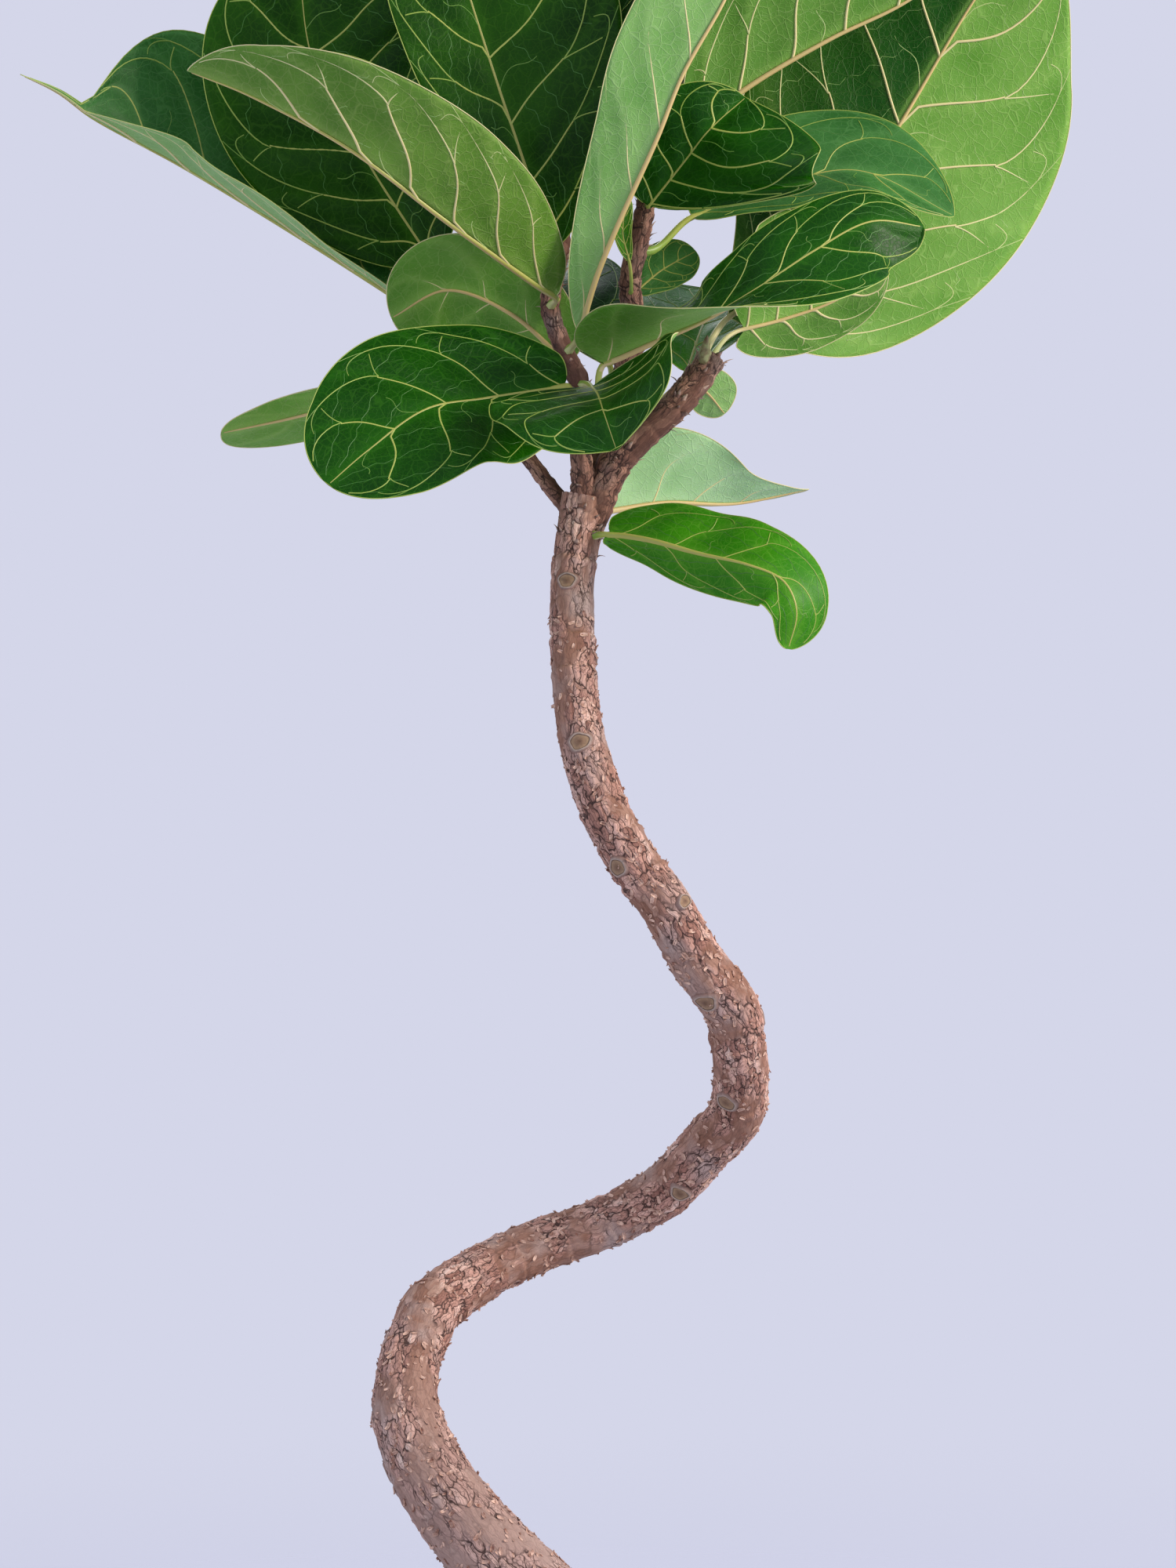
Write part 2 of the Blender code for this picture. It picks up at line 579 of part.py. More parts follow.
def leave_branch(name, height, towards, thick):
    """Where a stalk of a given radius starts, clear of the bark, and which way it first points."""
    here, ahead, radius = on_branch(name, height)
    out = towards - here
    if height == TIP:
        return here + ahead * (GAP + 0.0006), ahead
    out = unit(out - ahead * np.dot(out, ahead))
    return here + out * (radius + GAP + 0.15 * thick), out


def outline(t, p, q, tail):
    """Width of a half blade along the midrib, 1 at its widest."""
    top = p / (p + q)
    u = min(t / (1 - tail), 1.0)
    return u**p * (1 - u) ** q / (top**p * (1 - top) ** q) + (0.14 * t * (1 - t) ** 0.6 if tail else 0)


def smooth_step(x):
    x = min(max(x, 0.0), 1.0)
    return x * x * (3 - 2 * x)


def leaf_frame(leaf, t):
    line = [plant(p) for p in leaf["midrib"]]
    here = curve(line, t)
    along = unit(curve(line, min(t + 0.001, 1)) - curve(line, max(t - 0.001, 0)))
    faces = np.array(leaf["face"], float)
    x = t * (len(faces) - 1)
    i = min(int(x), max(len(faces) - 2, 0))
    u = (x - i) ** 2 * (3 - 2 * (x - i))
    normal = faces[i] * (1 - u) + faces[min(i + 1, len(faces) - 1)] * u
    normal = unit(normal - along * np.dot(normal, along))
    return here, along, normal, np.cross(along, normal)


def leaf_point(leaf, t, v, lift):
    """A point of the blade: v from -1 to 1 across it, lifted off its middle surface."""
    here, along, normal, side = leaf_frame(leaf, t)
    fold, fold_tip, curl, half, p, q, sweep = (tuple(leaf["plus" if v >= 0 else "minus"]) + (0,))[:7]
    fold = math.radians(fold + (fold_tip - fold) * t * t * (3 - 2 * t))
    curl = math.radians(curl) if abs(curl) > 0.1 else 0.002
    w = outline(t, p, q, leaf.get("tail", 0))
    h = max(half * w * LEAF_SCALE * PLANT_SCALE, PETIOLE * PLANT_SCALE * math.exp(-t / STALK_FADE))
    fold *= smooth_step(h / (FULL_FOLD * PLANT_SCALE))
    x = abs(v)
    sign = 1 if v >= 0 else -1
    across = h * (math.sin(fold + curl * x) - math.sin(fold)) / curl
    up = h * (math.cos(fold) - math.cos(fold + curl * x)) / curl
    shift = (sweep * w - leaf.get("ear", EAR) * math.exp(-t / EAR_FADE) * min(w / 0.4, 1)) * x * x
    turned = fold + curl * x if x else 0
    off = -side * sign * math.sin(turned) + normal * math.cos(turned)
    return here + side * sign * across + normal * up + along * shift * PLANT_SCALE + off * lift


def blade_ring(leaf, t):
    thick = (BLADE / 2 + (PETIOLE - BLADE / 2) * math.exp(-t / STALK_FADE)) * PLANT_SCALE
    under = thick + RIB * PLANT_SCALE * (1 - t) * (1 - math.exp(-t / STALK_FADE))
    top = [leaf_point(leaf, t, v, thick) for v in (-0.5, 0.0, 0.5)]
    low = [leaf_point(leaf, t, v, -k) for v, k in ((0.5, thick), (0.0, under), (-0.5, thick))]
    return [leaf_point(leaf, t, -1.0, 0), *top, leaf_point(leaf, t, 1.0, 0), *low]


def build_leaf(name, leaf):
    base, along, normal, _ = leaf_frame(leaf, 0)
    start, out = leave_branch(leaf["branch"], leaf["height"], base, PETIOLE)
    reach = np.linalg.norm(base - start)
    handles = [start, start + out * reach * STALK_BEND, base - along * reach * STALK_BEND, base]
    rings = []
    for u in STALK_RINGS if reach > SHORT_STALK * PLANT_SCALE else (0.0,):
        a, b, c, d = ((1 - u) ** 3, 3 * u * (1 - u) ** 2, 3 * u * u * (1 - u), u**3)
        here = a * handles[0] + b * handles[1] + c * handles[2] + d * handles[3]
        ahead = unit(
            (1 - u) ** 2 * (handles[1] - handles[0])
            + 2 * u * (1 - u) * (handles[2] - handles[1])
            + u * u * (handles[3] - handles[2])
        )
        up = unit(normal - ahead * np.dot(normal, ahead))
        right = np.cross(ahead, up)
        turns = [math.pi - k * math.pi / 4 for k in range(8)]
        rings.append([here + PETIOLE * (right * math.cos(a) + up * math.sin(a)) for a in turns])
    rings += [blade_ring(leaf, t) for t in STATIONS]
    verts, faces = loft(rings, tip=leaf_point(leaf, 1.0, 0.0, 0))
    shade = 0.9 + 0.2 * (len(name) % 4) / 3
    make_object(name, verts, faces, (0.045 * shade, 0.16 * shade, 0.02), 0.4)


def build_bud(name, branch, height, lean, length, radius):
    here, _, _ = on_branch(branch, height)
    towards = unit(np.array(lean, float))
    start, out = leave_branch(branch, height, here + towards, radius)
    if height != TIP:
        start = start + out * 0.5 * radius
    rings = []
    across = unit(np.cross(towards, [0.3, 1.0, 0.1]))
    side = np.cross(towards, across)
    for u, w in BUD_OUTLINE:
        here = start + towards * length * u
        turns = [2 * math.pi * j / 8 for j in range(8)]
        rings.append([here + w * radius * (across * math.cos(a) + side * math.sin(a)) for a in turns])
    verts, faces = loft(rings, tip=start + towards * length)
    make_object(name, verts, faces, (0.25, 0.15, 0.09), 0.7)


for old in list(bpy.data.objects):
    bpy.data.objects.remove(old)

build_pot()
build_soil()
build_trunk()
for bud_name, bud in BUDS.items():
    build_bud(bud_name, *bud)
for leaf_name, leaf_spec in LEAVES.items():
    build_leaf(leaf_name, leaf_spec)
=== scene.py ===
# %% [markdown]
# # A potted fiddle leaf fig
#
# A young tree in a planter: a corkscrew trunk with flaky bark, four short branches that carry large
# leathery leaves, a few buds, and potting mix in a glazed pot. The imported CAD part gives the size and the
# place of every piece. Each piece here is a finer version of one of its nodes, in the same frame, in
# metres.

# %% The frame
import math

import bpy
import numpy as np
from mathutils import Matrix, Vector


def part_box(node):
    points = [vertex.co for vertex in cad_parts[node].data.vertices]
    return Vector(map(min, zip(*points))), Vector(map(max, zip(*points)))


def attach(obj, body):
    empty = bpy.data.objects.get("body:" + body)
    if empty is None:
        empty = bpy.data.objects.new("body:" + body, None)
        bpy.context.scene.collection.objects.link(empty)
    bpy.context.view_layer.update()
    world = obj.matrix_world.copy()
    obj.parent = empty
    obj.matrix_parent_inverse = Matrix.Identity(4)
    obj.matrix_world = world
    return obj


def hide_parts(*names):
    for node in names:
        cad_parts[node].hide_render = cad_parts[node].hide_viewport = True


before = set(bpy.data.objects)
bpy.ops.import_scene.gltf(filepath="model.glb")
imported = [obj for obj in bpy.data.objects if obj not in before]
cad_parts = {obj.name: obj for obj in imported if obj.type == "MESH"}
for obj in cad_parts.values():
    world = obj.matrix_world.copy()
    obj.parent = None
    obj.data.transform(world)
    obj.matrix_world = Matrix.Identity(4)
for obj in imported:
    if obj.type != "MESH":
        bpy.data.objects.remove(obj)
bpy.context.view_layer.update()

for name in ("Cube", "Light", "Camera"):
    if name in bpy.data.objects:
        bpy.data.objects.remove(bpy.data.objects[name])
print("CAD nodes:", len(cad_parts))

# %% [markdown]
# Everything on the plant is measured from the surface of the potting mix, as a grower would. These sizes
# could be typed in again, but then they would drift from the CAD part, so they are read from its frame.
# The rim of the mix stands one small mound below its own highest point.

# %% Where the plant starts
MM = 0.001
SOIL_MOUND = 0.004
SOIL_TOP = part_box("soil")[1].z - SOIL_MOUND
POT_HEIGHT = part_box("pot")[1].z
POT_TOP_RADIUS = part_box("pot")[1].x
RANDOM = np.random.default_rng(7)
print("potting mix at", round(SOIL_TOP, 4), "m, pot", round(POT_HEIGHT, 3), "m high")

# %% [markdown]
# The trunk is a left-handed corkscrew, trained round a post when it was young. A formula for a helix
# would be shorter, but a real one wanders, so its centre line is a list of stations: x, y, height above
# the mix and radius. The four branches are short, and each grew from one bud that broke below the cut top
# of the trunk.

# %% Centre lines of the trunk and the branches
BRANCHES = {
    "trunk": [
        (0.030, -0.020, -0.060, 0.0360),
        (0.030, -0.022, 0.000, 0.0360),
        (0.022, -0.040, 0.037, 0.0335),
        (-0.024, -0.070, 0.116, 0.0310),
        (-0.052, -0.080, 0.149, 0.0280),
        (-0.073, -0.078, 0.173, 0.0260),
        (-0.096, -0.065, 0.201, 0.0240),
        (-0.113, -0.040, 0.234, 0.0216),
        (-0.115, -0.024, 0.251, 0.0203),
        (-0.113, -0.008, 0.267, 0.0196),
        (-0.106, 0.012, 0.284, 0.0194),
        (-0.100, 0.026, 0.295, 0.0196),
        (-0.067, 0.062, 0.314, 0.0180),
        (-0.034, 0.083, 0.327, 0.0176),
        (0.003, 0.090, 0.339, 0.0170),
        (0.032, 0.086, 0.353, 0.0176),
        (0.054, 0.076, 0.368, 0.0178),
        (0.077, 0.054, 0.396, 0.0178),
        (0.095, 0.034, 0.418, 0.0178),
        (0.098, 0.014, 0.441, 0.0176),
        (0.095, -0.008, 0.468, 0.0176),
        (0.090, -0.026, 0.491, 0.0176),
        (0.067, -0.048, 0.524, 0.0166),
        (0.047, -0.058, 0.559, 0.0161),
        (0.033, -0.058, 0.577, 0.0158),
        (0.020, -0.055, 0.598, 0.0156),
        (0.009, -0.050, 0.619, 0.0153),
        (-0.004, -0.037, 0.661, 0.0147),
        (-0.009, -0.022, 0.707, 0.0143),
        (-0.010, -0.008, 0.757, 0.0139),
        (-0.007, -0.003, 0.784, 0.0141),
        (-0.004, 0.000, 0.800, 0.0152),
        (-0.001, 0.000, 0.816, 0.0160),
    ],
    "right": [
        (0.002, -0.001, 0.800, 0.0100),
        (0.017, -0.008, 0.836, 0.0110),
        (0.031, -0.012, 0.851, 0.0100),
        (0.053, -0.012, 0.870, 0.0095),
        (0.071, -0.005, 0.892, 0.0095),
        (0.079, 0.000, 0.905, 0.0085),
    ],
    "centre": [
        (-0.004, -0.002, 0.800, 0.0080),
        (-0.003, -0.008, 0.820, 0.0080),
        (-0.005, -0.018, 0.850, 0.0064),
        (-0.006, -0.016, 0.887, 0.0065),
        (-0.014, -0.010, 0.905, 0.0062),
        (-0.021, -0.006, 0.923, 0.0060),
        (-0.024, 0.000, 0.940, 0.0060),
        (-0.018, 0.000, 0.970, 0.0058),
        (-0.015, 0.000, 1.020, 0.0055),
        (-0.014, 0.002, 1.075, 0.0045),
    ],
    "back": [
        (0.000, 0.004, 0.800, 0.0090),
        (0.000, 0.008, 0.820, 0.0090),
        (0.012, 0.020, 0.865, 0.0080),
        (0.024, 0.030, 0.900, 0.0078),
        (0.030, 0.030, 0.925, 0.0075),
        (0.027, 0.022, 0.955, 0.0070),
        (0.032, 0.015, 0.980, 0.0070),
        (0.038, 0.012, 1.010, 0.0060),
        (0.045, 0.020, 1.075, 0.0045),
    ],
    "left": [
        (-0.006, 0.002, 0.803, 0.0062),
        (-0.018, 0.007, 0.815, 0.0056),
        (-0.033, 0.010, 0.834, 0.0050),
        (-0.060, 0.030, 0.875, 0.0048),
        (-0.085, 0.045, 0.925, 0.0046),
        (-0.099, 0.049, 0.960, 0.0045),
    ],
}
print("stems:", list(BRANCHES))

# %% [markdown]
# A leaf is described the way it hangs: where its stalk leaves a branch, the line of its midrib, the way
# the upper side faces, and for the half on either side of the midrib its fold at the base and at the tip
# in degrees, the curl that it adds to the margin, its half width, two exponents of its outline and, on
# some, how far its margin is swept to the tip. A small first exponent gives a broad base, and a small
# second one a round tip. A tail is the share of the length that is drawn out narrow, and an ear is how
# far the lobes at the base reach back beside the stalk.

# %% The leaves
TIP = 9.0  # asked for as a height, this means the end of the branch
LEAVES = {
    "leaf_left_long": dict(
        branch="left", height=0.915,
        midrib=[(-0.103, 0.051, 0.936), (-0.183, 0.056, 0.987), (-0.265, 0.056, 1.036),
                (-0.319, 0.03, 1.062), (-0.34, 0.015, 1.076), (-0.362, 0, 1.085)],
        face=[(0.3, -0.1, 1)],
        plus=(56, 66, 10, 0.088, 1.3, 0.55),
        minus=(3, 11, 8, 0.055, 0.9, 0.8),
        tail=0.16),
    "leaf_left_broad": dict(
        branch="left", height=TIP,
        midrib=[(-0.102, 0.048, 0.973), (-0.141, 0.046, 1.033), (-0.178, 0.04, 1.1),
                (-0.187, 0.02, 1.172)],
        face=[(0, -1, 0.1), (0, -1, 0.3)],
        plus=(12, 8, 8, 0.088, 0.7, 0.45),
        minus=(4, 3, 4, 0.076, 0.7, 0.55)),
    "leaf_left_folded": dict(
        branch="centre", height=0.935,
        midrib=[(-0.022, -0.03, 0.94), (-0.085, -0.09, 0.977), (-0.145, -0.125, 1.017),
                (-0.204, -0.12, 1.049), (-0.244, -0.105, 1.067)],
        face=[(0.54, 0, 0.84), (0.45, -0.1, 0.9)],
        plus=(50, 48, 15, 0.068, 0.62, 0.62),
        minus=(74, 50, 15, 0.06, 0.6, 0.75)),
    "leaf_centre_tall": dict(
        branch="centre", height=0.953,
        midrib=[(-0.022, -0.012, 0.972), (-0.045, -0.018, 1.039), (-0.064, -0.02, 1.096),
                (-0.082, -0.025, 1.157), (-0.086, -0.045, 1.201)],
        face=[(0, -1, 0.1), (0, -1, 0.3)],
        plus=(10, 4, 8, 0.09, 0.8, 0.5),
        minus=(10, 4, 8, 0.052, 0.9, 0.45)),
    "leaf_centre_narrow": dict(
        branch="centre", height=0.905,
        midrib=[(-0.005, -0.034, 0.916), (0.005, -0.048, 0.948), (0.019, -0.058, 0.981),
                (0.043, -0.064, 1.033), (0.059, -0.062, 1.073), (0.085, -0.058, 1.12),
                (0.128, -0.04, 1.217)],
        face=[(-0.63, 0.7, 0.3)],
        plus=(42, 40, 8, 0.05, 0.75, 0.32),
        minus=(78, 70, 8, 0.045, 0.75, 0.5)),
    "leaf_right_dark": dict(
        branch="back", height=1.003,
        midrib=[(0.039, 0, 1.001), (0.062, -0.008, 1.029), (0.077, -0.016, 1.047), (0.1, -0.012, 1.068)],
        face=[(-0.2, -1, 0.3)],
        plus=(0, 5, 10, 0.085, 0.75, 1, 0.045),
        minus=(15, 20, 15, 0.04, 0.45, 0.6),
        ear=0.003),
    "leaf_right_folded": dict(
        branch="back", height=1.014,
        midrib=[(0.067, 0.028, 1.053), (0.103, 0.034, 1.083), (0.157, 0.036, 1.115),
                (0.206, 0.036, 1.139), (0.263, 0.03, 1.179)],
        face=[(-0.5, 0, 0.87)],
        plus=(78, 60, 10, 0.075, 0.7, 0.45),
        minus=(72, 60, 10, 0.055, 0.7, 0.45)),
    "leaf_right_broad": dict(
        branch="right", height=0.903,
        midrib=[(0.091, 0.03, 0.934), (0.152, 0.08, 0.984), (0.202, 0.1, 1.062), (0.247, 0.1, 1.138),
                (0.273, 0.09, 1.18), (0.286, 0.07, 1.212)],
        face=[(0, 1, 0.1)],
        plus=(5, 5, 8, 0.104, 1, 0.8),
        minus=(5, 5, 8, 0.114, 1, 0.9)),
    "leaf_right_blue": dict(
        branch="back", height=0.975,
        midrib=[(0.068, 0.03, 0.999), (0.115, 0.042, 1.019), (0.176, 0.045, 1.031), (0.237, 0.035, 1)],
        face=[(0, -0.7, 0.7), (0.3, -0.7, 0.6)],
        plus=(10, 10, 10, 0.04, 0.7, 0.7),
        minus=(10, 10, 10, 0.05, 0.7, 0.75)),
    "leaf_right_long": dict(
        branch="centre", height=0.862,
        midrib=[(0.011, -0.024, 0.898), (0.044, -0.05, 0.91), (0.073, -0.068, 0.921),
                (0.105, -0.075, 0.939), (0.141, -0.07, 0.963), (0.176, -0.06, 0.982),
                (0.21, -0.045, 0.981)],
        face=[(-0.2, -0.6, 0.8), (0, -0.8, 0.6)],
        plus=(62, -45, 25, 0.05, 0.25, 0.4),
        minus=(-5, 5, 10, 0.038, 0.42, 0.5),
        ear=0.008),
    "leaf_right_pale": dict(
        branch="right", height=TIP,
        midrib=[(0.1, 0.02, 0.925), (0.127, 0.03, 0.933), (0.161, 0.035, 0.946), (0.192, 0.03, 0.967)],
        face=[(0, 0.9, 0.4)],
        plus=(5, 5, 10, 0.067, 0.4, 0.45),
        minus=(5, 5, 10, 0.028, 0.35, 0.5)),
    "leaf_front_left": dict(
        branch="centre", height=0.873,
        midrib=[(-0.014, -0.03, 0.883), (-0.064, -0.052, 0.873), (-0.1, -0.082, 0.863),
                (-0.134, -0.11, 0.835), (-0.157, -0.125, 0.813)],
        face=[(0, -0.85, 0.5), (0, -0.9, 0.4)],
        plus=(3, 3, 8, 0.06, 0.42, 0.45),
        minus=(3, 3, 8, 0.06, 0.42, 0.45),
        ear=0.012),
    "leaf_front_droop": dict(
        branch="centre", height=0.884,
        midrib=[(0.002, -0.045, 0.881), (0.006, -0.085, 0.872), (0.01, -0.13, 0.855),
                (0.017, -0.15, 0.832)],
        face=[(-0.2, -0.25, 1), (-0.2, -0.6, 0.7)],
        plus=(5, 5, 5, 0.068, 0.5, 0.5),
        minus=(5, 15, 40, 0.064, 0.6, 0.45),
        ear=0.002),
    "leaf_low_right": dict(
        branch="trunk", height=0.790,
        midrib=[(0.013, -0.02, 0.79), (0.039, -0.035, 0.785), (0.069, -0.05, 0.776), (0.1, -0.065, 0.768),
                (0.121, -0.07, 0.758), (0.129, -0.072, 0.739), (0.124, -0.068, 0.716)],
        face=[(0, -0.75, 0.65), (0.5, -0.75, 0.3)],
        plus=(-85, -20, 0, 0.024, 0.4, 0.45),
        minus=(5, 0, 0, 0.038, 0.33, 0.5)),
    "leaf_low_behind": dict(
        branch="trunk", height=0.797,
        midrib=[(0.013, 0.05, 0.81), (0.052, 0.08, 0.818), (0.099, 0.11, 0.82), (0.148, 0.12, 0.83)],
        face=[(0, 0.3, 0.95)],
        plus=(78, 10, 10, 0.05, 0.5, 1.2),
        minus=(20, 10, 10, 0.035, 0.5, 0.8)),
    "leaf_low_left": dict(
        branch="left", height=0.862,
        midrib=[(-0.076, 0.045, 0.882), (-0.144, 0.07, 0.884), (-0.206, 0.075, 0.871),
                (-0.24, 0.06, 0.862)],
        face=[(0, 0.7, 0.7)],
        plus=(10, 10, 10, 0.03, 0.9, 0.5),
        minus=(10, 10, 10, 0.016, 0.9, 0.5)),
    "leaf_left_light": dict(
        branch="centre", height=0.878,
        midrib=[(-0.014, 0.01, 0.903), (-0.05, 0.01, 0.934), (-0.09, 0.004, 0.948),
                (-0.125, -0.006, 0.929)],
        face=[(0, 0.9, 0.3)],
        plus=(5, 5, 8, 0.04, 0.5, 0.45),
        minus=(5, 5, 8, 0.038, 0.5, 0.5)),
    "leaf_right_small": dict(
        branch="right", height=0.846,
        midrib=[(0.066, 0.008, 0.888), (0.076, 0.016, 0.884), (0.088, 0.024, 0.871)],
        face=[(0, 1, 0.2)],
        plus=(5, 5, 8, 0.018, 0.6, 0.5),
        minus=(5, 5, 8, 0.014, 0.6, 0.5),
        ear=0.001),
    "leaf_gap_small": dict(
        branch="back", height=0.912,
        midrib=[(0.033, 0.036, 0.953), (0.048, 0.042, 0.966), (0.07, 0.048, 0.979)],
        face=[(0, -0.9, 0.4)],
        plus=(5, 5, 8, 0.018, 0.6, 0.5),
        minus=(5, 5, 8, 0.018, 0.6, 0.5)),
    "leaf_young": dict(
        branch="back", height=0.950,
        midrib=[(0.026, -0.005, 0.966), (0.022, -0.01, 0.983), (0.025, -0.01, 1.005)],
        face=[(0, -1, 0.1)],
        plus=(20, 20, 8, 0.006, 0.6, 0.5),
        minus=(20, 20, 8, 0.006, 0.6, 0.5),
        ear=0.001),
    "leaf_left_upper": dict(
        branch="centre", height=0.965,
        midrib=[(-0.056, 0.06, 1.012), (-0.099, 0.11, 1.088), (-0.129, 0.13, 1.16),
                (-0.147, 0.12, 1.226)],
        face=[(0, -1, 0.2)],
        plus=(10, 8, 8, 0.036, 1, 0.45),
        minus=(10, 8, 8, 0.055, 0.8, 0.45)),
    "leaf_top_left": dict(
        branch="centre", height=1.035,
        midrib=[(-0.036, 0.012, 1.065), (-0.08, 0.04, 1.155), (-0.125, 0.045, 1.225)],
        face=[(0.5, -0.3, 0.8)],
        plus=(12, 8, 10, 0.042, 0.75, 0.45),
        minus=(12, 8, 10, 0.042, 0.75, 0.45)),
    "leaf_top_front": dict(
        branch="centre", height=1.048,
        midrib=[(-0.008, -0.01, 1.09), (0.01, -0.004, 1.175), (0.016, -0.008, 1.25)],
        face=[(0, -1, 0.2)],
        plus=(12, 8, 10, 0.045, 0.75, 0.45),
        minus=(12, 8, 10, 0.045, 0.75, 0.45)),
    "leaf_top_right": dict(
        branch="back", height=1.060,
        midrib=[(0.054, 0.042, 1.075), (0.08, 0.088, 1.16), (0.105, 0.12, 1.235)],
        face=[(-0.4, -0.6, 0.5)],
        plus=(12, 8, 10, 0.05, 0.75, 0.45),
        minus=(12, 8, 10, 0.05, 0.75, 0.45)),
    "leaf_top_back": dict(
        branch="back", height=TIP,
        midrib=[(0.046, 0.035, 1.09), (0.038, 0.085, 1.175), (0.025, 0.13, 1.245)],
        face=[(0, -0.8, 0.6)],
        plus=(12, 8, 10, 0.052, 0.75, 0.45),
        minus=(12, 8, 10, 0.052, 0.75, 0.45)),
    "leaf_top_young": dict(
        branch="centre", height=1.058,
        midrib=[(-0.026, 0.022, 1.087), (-0.035, 0.055, 1.175), (-0.055, 0.08, 1.245)],
        face=[(0.2, -0.9, 0.4)],
        plus=(12, 8, 10, 0.042, 0.75, 0.45),
        minus=(12, 8, 10, 0.042, 0.75, 0.45)),
    "leaf_back_left": dict(
        branch="centre", height=1.015,
        midrib=[(-0.03, 0.028, 1.03), (-0.042, 0.095, 1.105), (-0.052, 0.15, 1.155)],
        face=[(0.2, -0.6, 0.8)],
        plus=(12, 8, 10, 0.058, 0.75, 0.45),
        minus=(12, 8, 10, 0.058, 0.75, 0.45)),
    "leaf_back_far_left": dict(
        branch="left", height=0.940,
        midrib=[(-0.112, 0.075, 0.963), (-0.148, 0.13, 1.014), (-0.185, 0.175, 1.034)],
        face=[(0.2, -0.2, 0.95)],
        plus=(12, 8, 10, 0.055, 0.75, 0.45),
        minus=(12, 8, 10, 0.055, 0.75, 0.45)),
    "leaf_back_centre": dict(
        branch="back", height=0.893,
        midrib=[(0.014, 0.05, 0.905), (-0.02, 0.11, 0.96), (-0.055, 0.17, 0.985)],
        face=[(0, -0.3, 0.9)],
        plus=(12, 8, 10, 0.05, 0.75, 0.45),
        minus=(12, 8, 10, 0.05, 0.75, 0.45)),
    "leaf_back_right": dict(
        branch="back", height=0.986,
        midrib=[(0.042, 0.056, 1.013), (0.046, 0.115, 1.075), (0.05, 0.175, 1.12)],
        face=[(-0.1, -0.5, 0.9)],
        plus=(12, 8, 10, 0.05, 0.75, 0.45),
        minus=(12, 8, 10, 0.05, 0.75, 0.45)),
    "leaf_back_low": dict(
        branch="left", height=0.842,
        midrib=[(-0.056, 0.05, 0.867), (-0.095, 0.105, 0.92), (-0.135, 0.15, 0.93)],
        face=[(0, -0.2, 1)],
        plus=(12, 8, 10, 0.036, 0.75, 0.45),
        minus=(12, 8, 10, 0.036, 0.75, 0.45)),
    "leaf_back_upper_right": dict(
        branch="back", height=1.042,
        midrib=[(0.06, 0.055, 1.06), (0.105, 0.14, 1.135), (0.145, 0.195, 1.175)],
        face=[(-0.4, -0.3, 0.85)],
        plus=(12, 8, 10, 0.042, 0.75, 0.45),
        minus=(12, 8, 10, 0.042, 0.75, 0.45)),
    "leaf_top_far_left": dict(
        branch="left", height=0.951,
        midrib=[(-0.112, 0.068, 0.99), (-0.15, 0.105, 1.065), (-0.19, 0.12, 1.135)],
        face=[(0.6, -0.4, 0.6)],
        plus=(12, 8, 10, 0.045, 0.75, 0.45),
        minus=(12, 8, 10, 0.045, 0.75, 0.45)),
    "leaf_back_right_low": dict(
        branch="right", height=0.872,
        midrib=[(0.064, 0.036, 0.900), (0.078, 0.092, 0.940), (0.096, 0.15, 0.965)],
        face=[(0, -0.3, 0.9)],
        plus=(12, 8, 10, 0.048, 0.75, 0.45),
        minus=(12, 8, 10, 0.048, 0.75, 0.45)),
}
print("leaves:", len(LEAVES))

# %% [markdown]
# A few small helpers serve every node tree, of geometry and of materials. One turns a screen colour into
# the linear light that a renderer adds up. One adds a node with its settings and links, which would
# otherwise take a line each.

# %% Helpers for colours, nodes and materials
def colour(screen_hex):
    """Linear RGBA of an sRGB hex colour."""
    parts = [int(screen_hex[i:i + 2], 16) / 255 for i in (1, 3, 5)]
    return (*[c / 12.92 if c <= 0.04045 else ((c + 0.055) / 1.055) ** 2.4 for c in parts], 1.0)


def add_node(tree, kind, inputs=None, **settings):
    """A node in a tree. An input is another node's socket, which is linked, or a plain value."""
    node = tree.nodes.new(kind)
    for key, value in settings.items():
        setattr(node, key, value)
    for key, value in (inputs or {}).items():
        if isinstance(value, bpy.types.NodeSocket):
            tree.links.new(value, node.inputs[key])
        else:
            node.inputs[key].default_value = value
    return node


def new_material(name, roughness, **sockets):
    """A material with a Principled shader, whose constant values are set on its own sockets."""
    material = bpy.data.materials.new(name)
    material.use_nodes = True
    shader = material.node_tree.nodes["Principled BSDF"]
    shader.inputs["Roughness"].default_value = roughness
    for key, value in sockets.items():
        shader.inputs[key.replace("_", " ")].default_value = value
    return material, material.node_tree, shader


def set_stops(ramp, stops):
    """Gives a Color Ramp its stops, each a place from 0 to 1 and a screen colour."""
    elements = ramp.color_ramp.elements
    while len(elements) > 1:
        elements.remove(elements[0])
    elements[0].position = stops[0][0]
    elements[0].color = colour(stops[0][1])
    for place, screen_hex in stops[1:]:
        elements.new(place).color = colour(screen_hex)


print("white is", colour("#ffffff")[:3])

# %% [markdown]
# ## Leaf surface
#
# The upper side of a fiddle leaf fig is leathery and deep green, and indoors a little dust takes most of
# the gloss off its wax, so it has a faint, broad sheen. Between the raised veins runs a net of veinlets a
# few millimetres wide. A painted image could show the net, but it would blur close up. Here it is a
# Voronoi pattern on the blade's own flat coordinates, in metres, so it stays sharp and stays on the leaf
# however the leaf bends.

# %% Leaf tissue
NET_CELL = 3.4 * MM
NET_LINE = 0.09  # width of a veinlet, as a share of its cell
# A deep green painted where a half blade lies in shadow: painted shade
PAINTED_SHADE_GREEN = "#0c4800"
PAINTED_SHADE_HIDES = 0.8  # how much of the halo and the net a half blade under painted shade loses
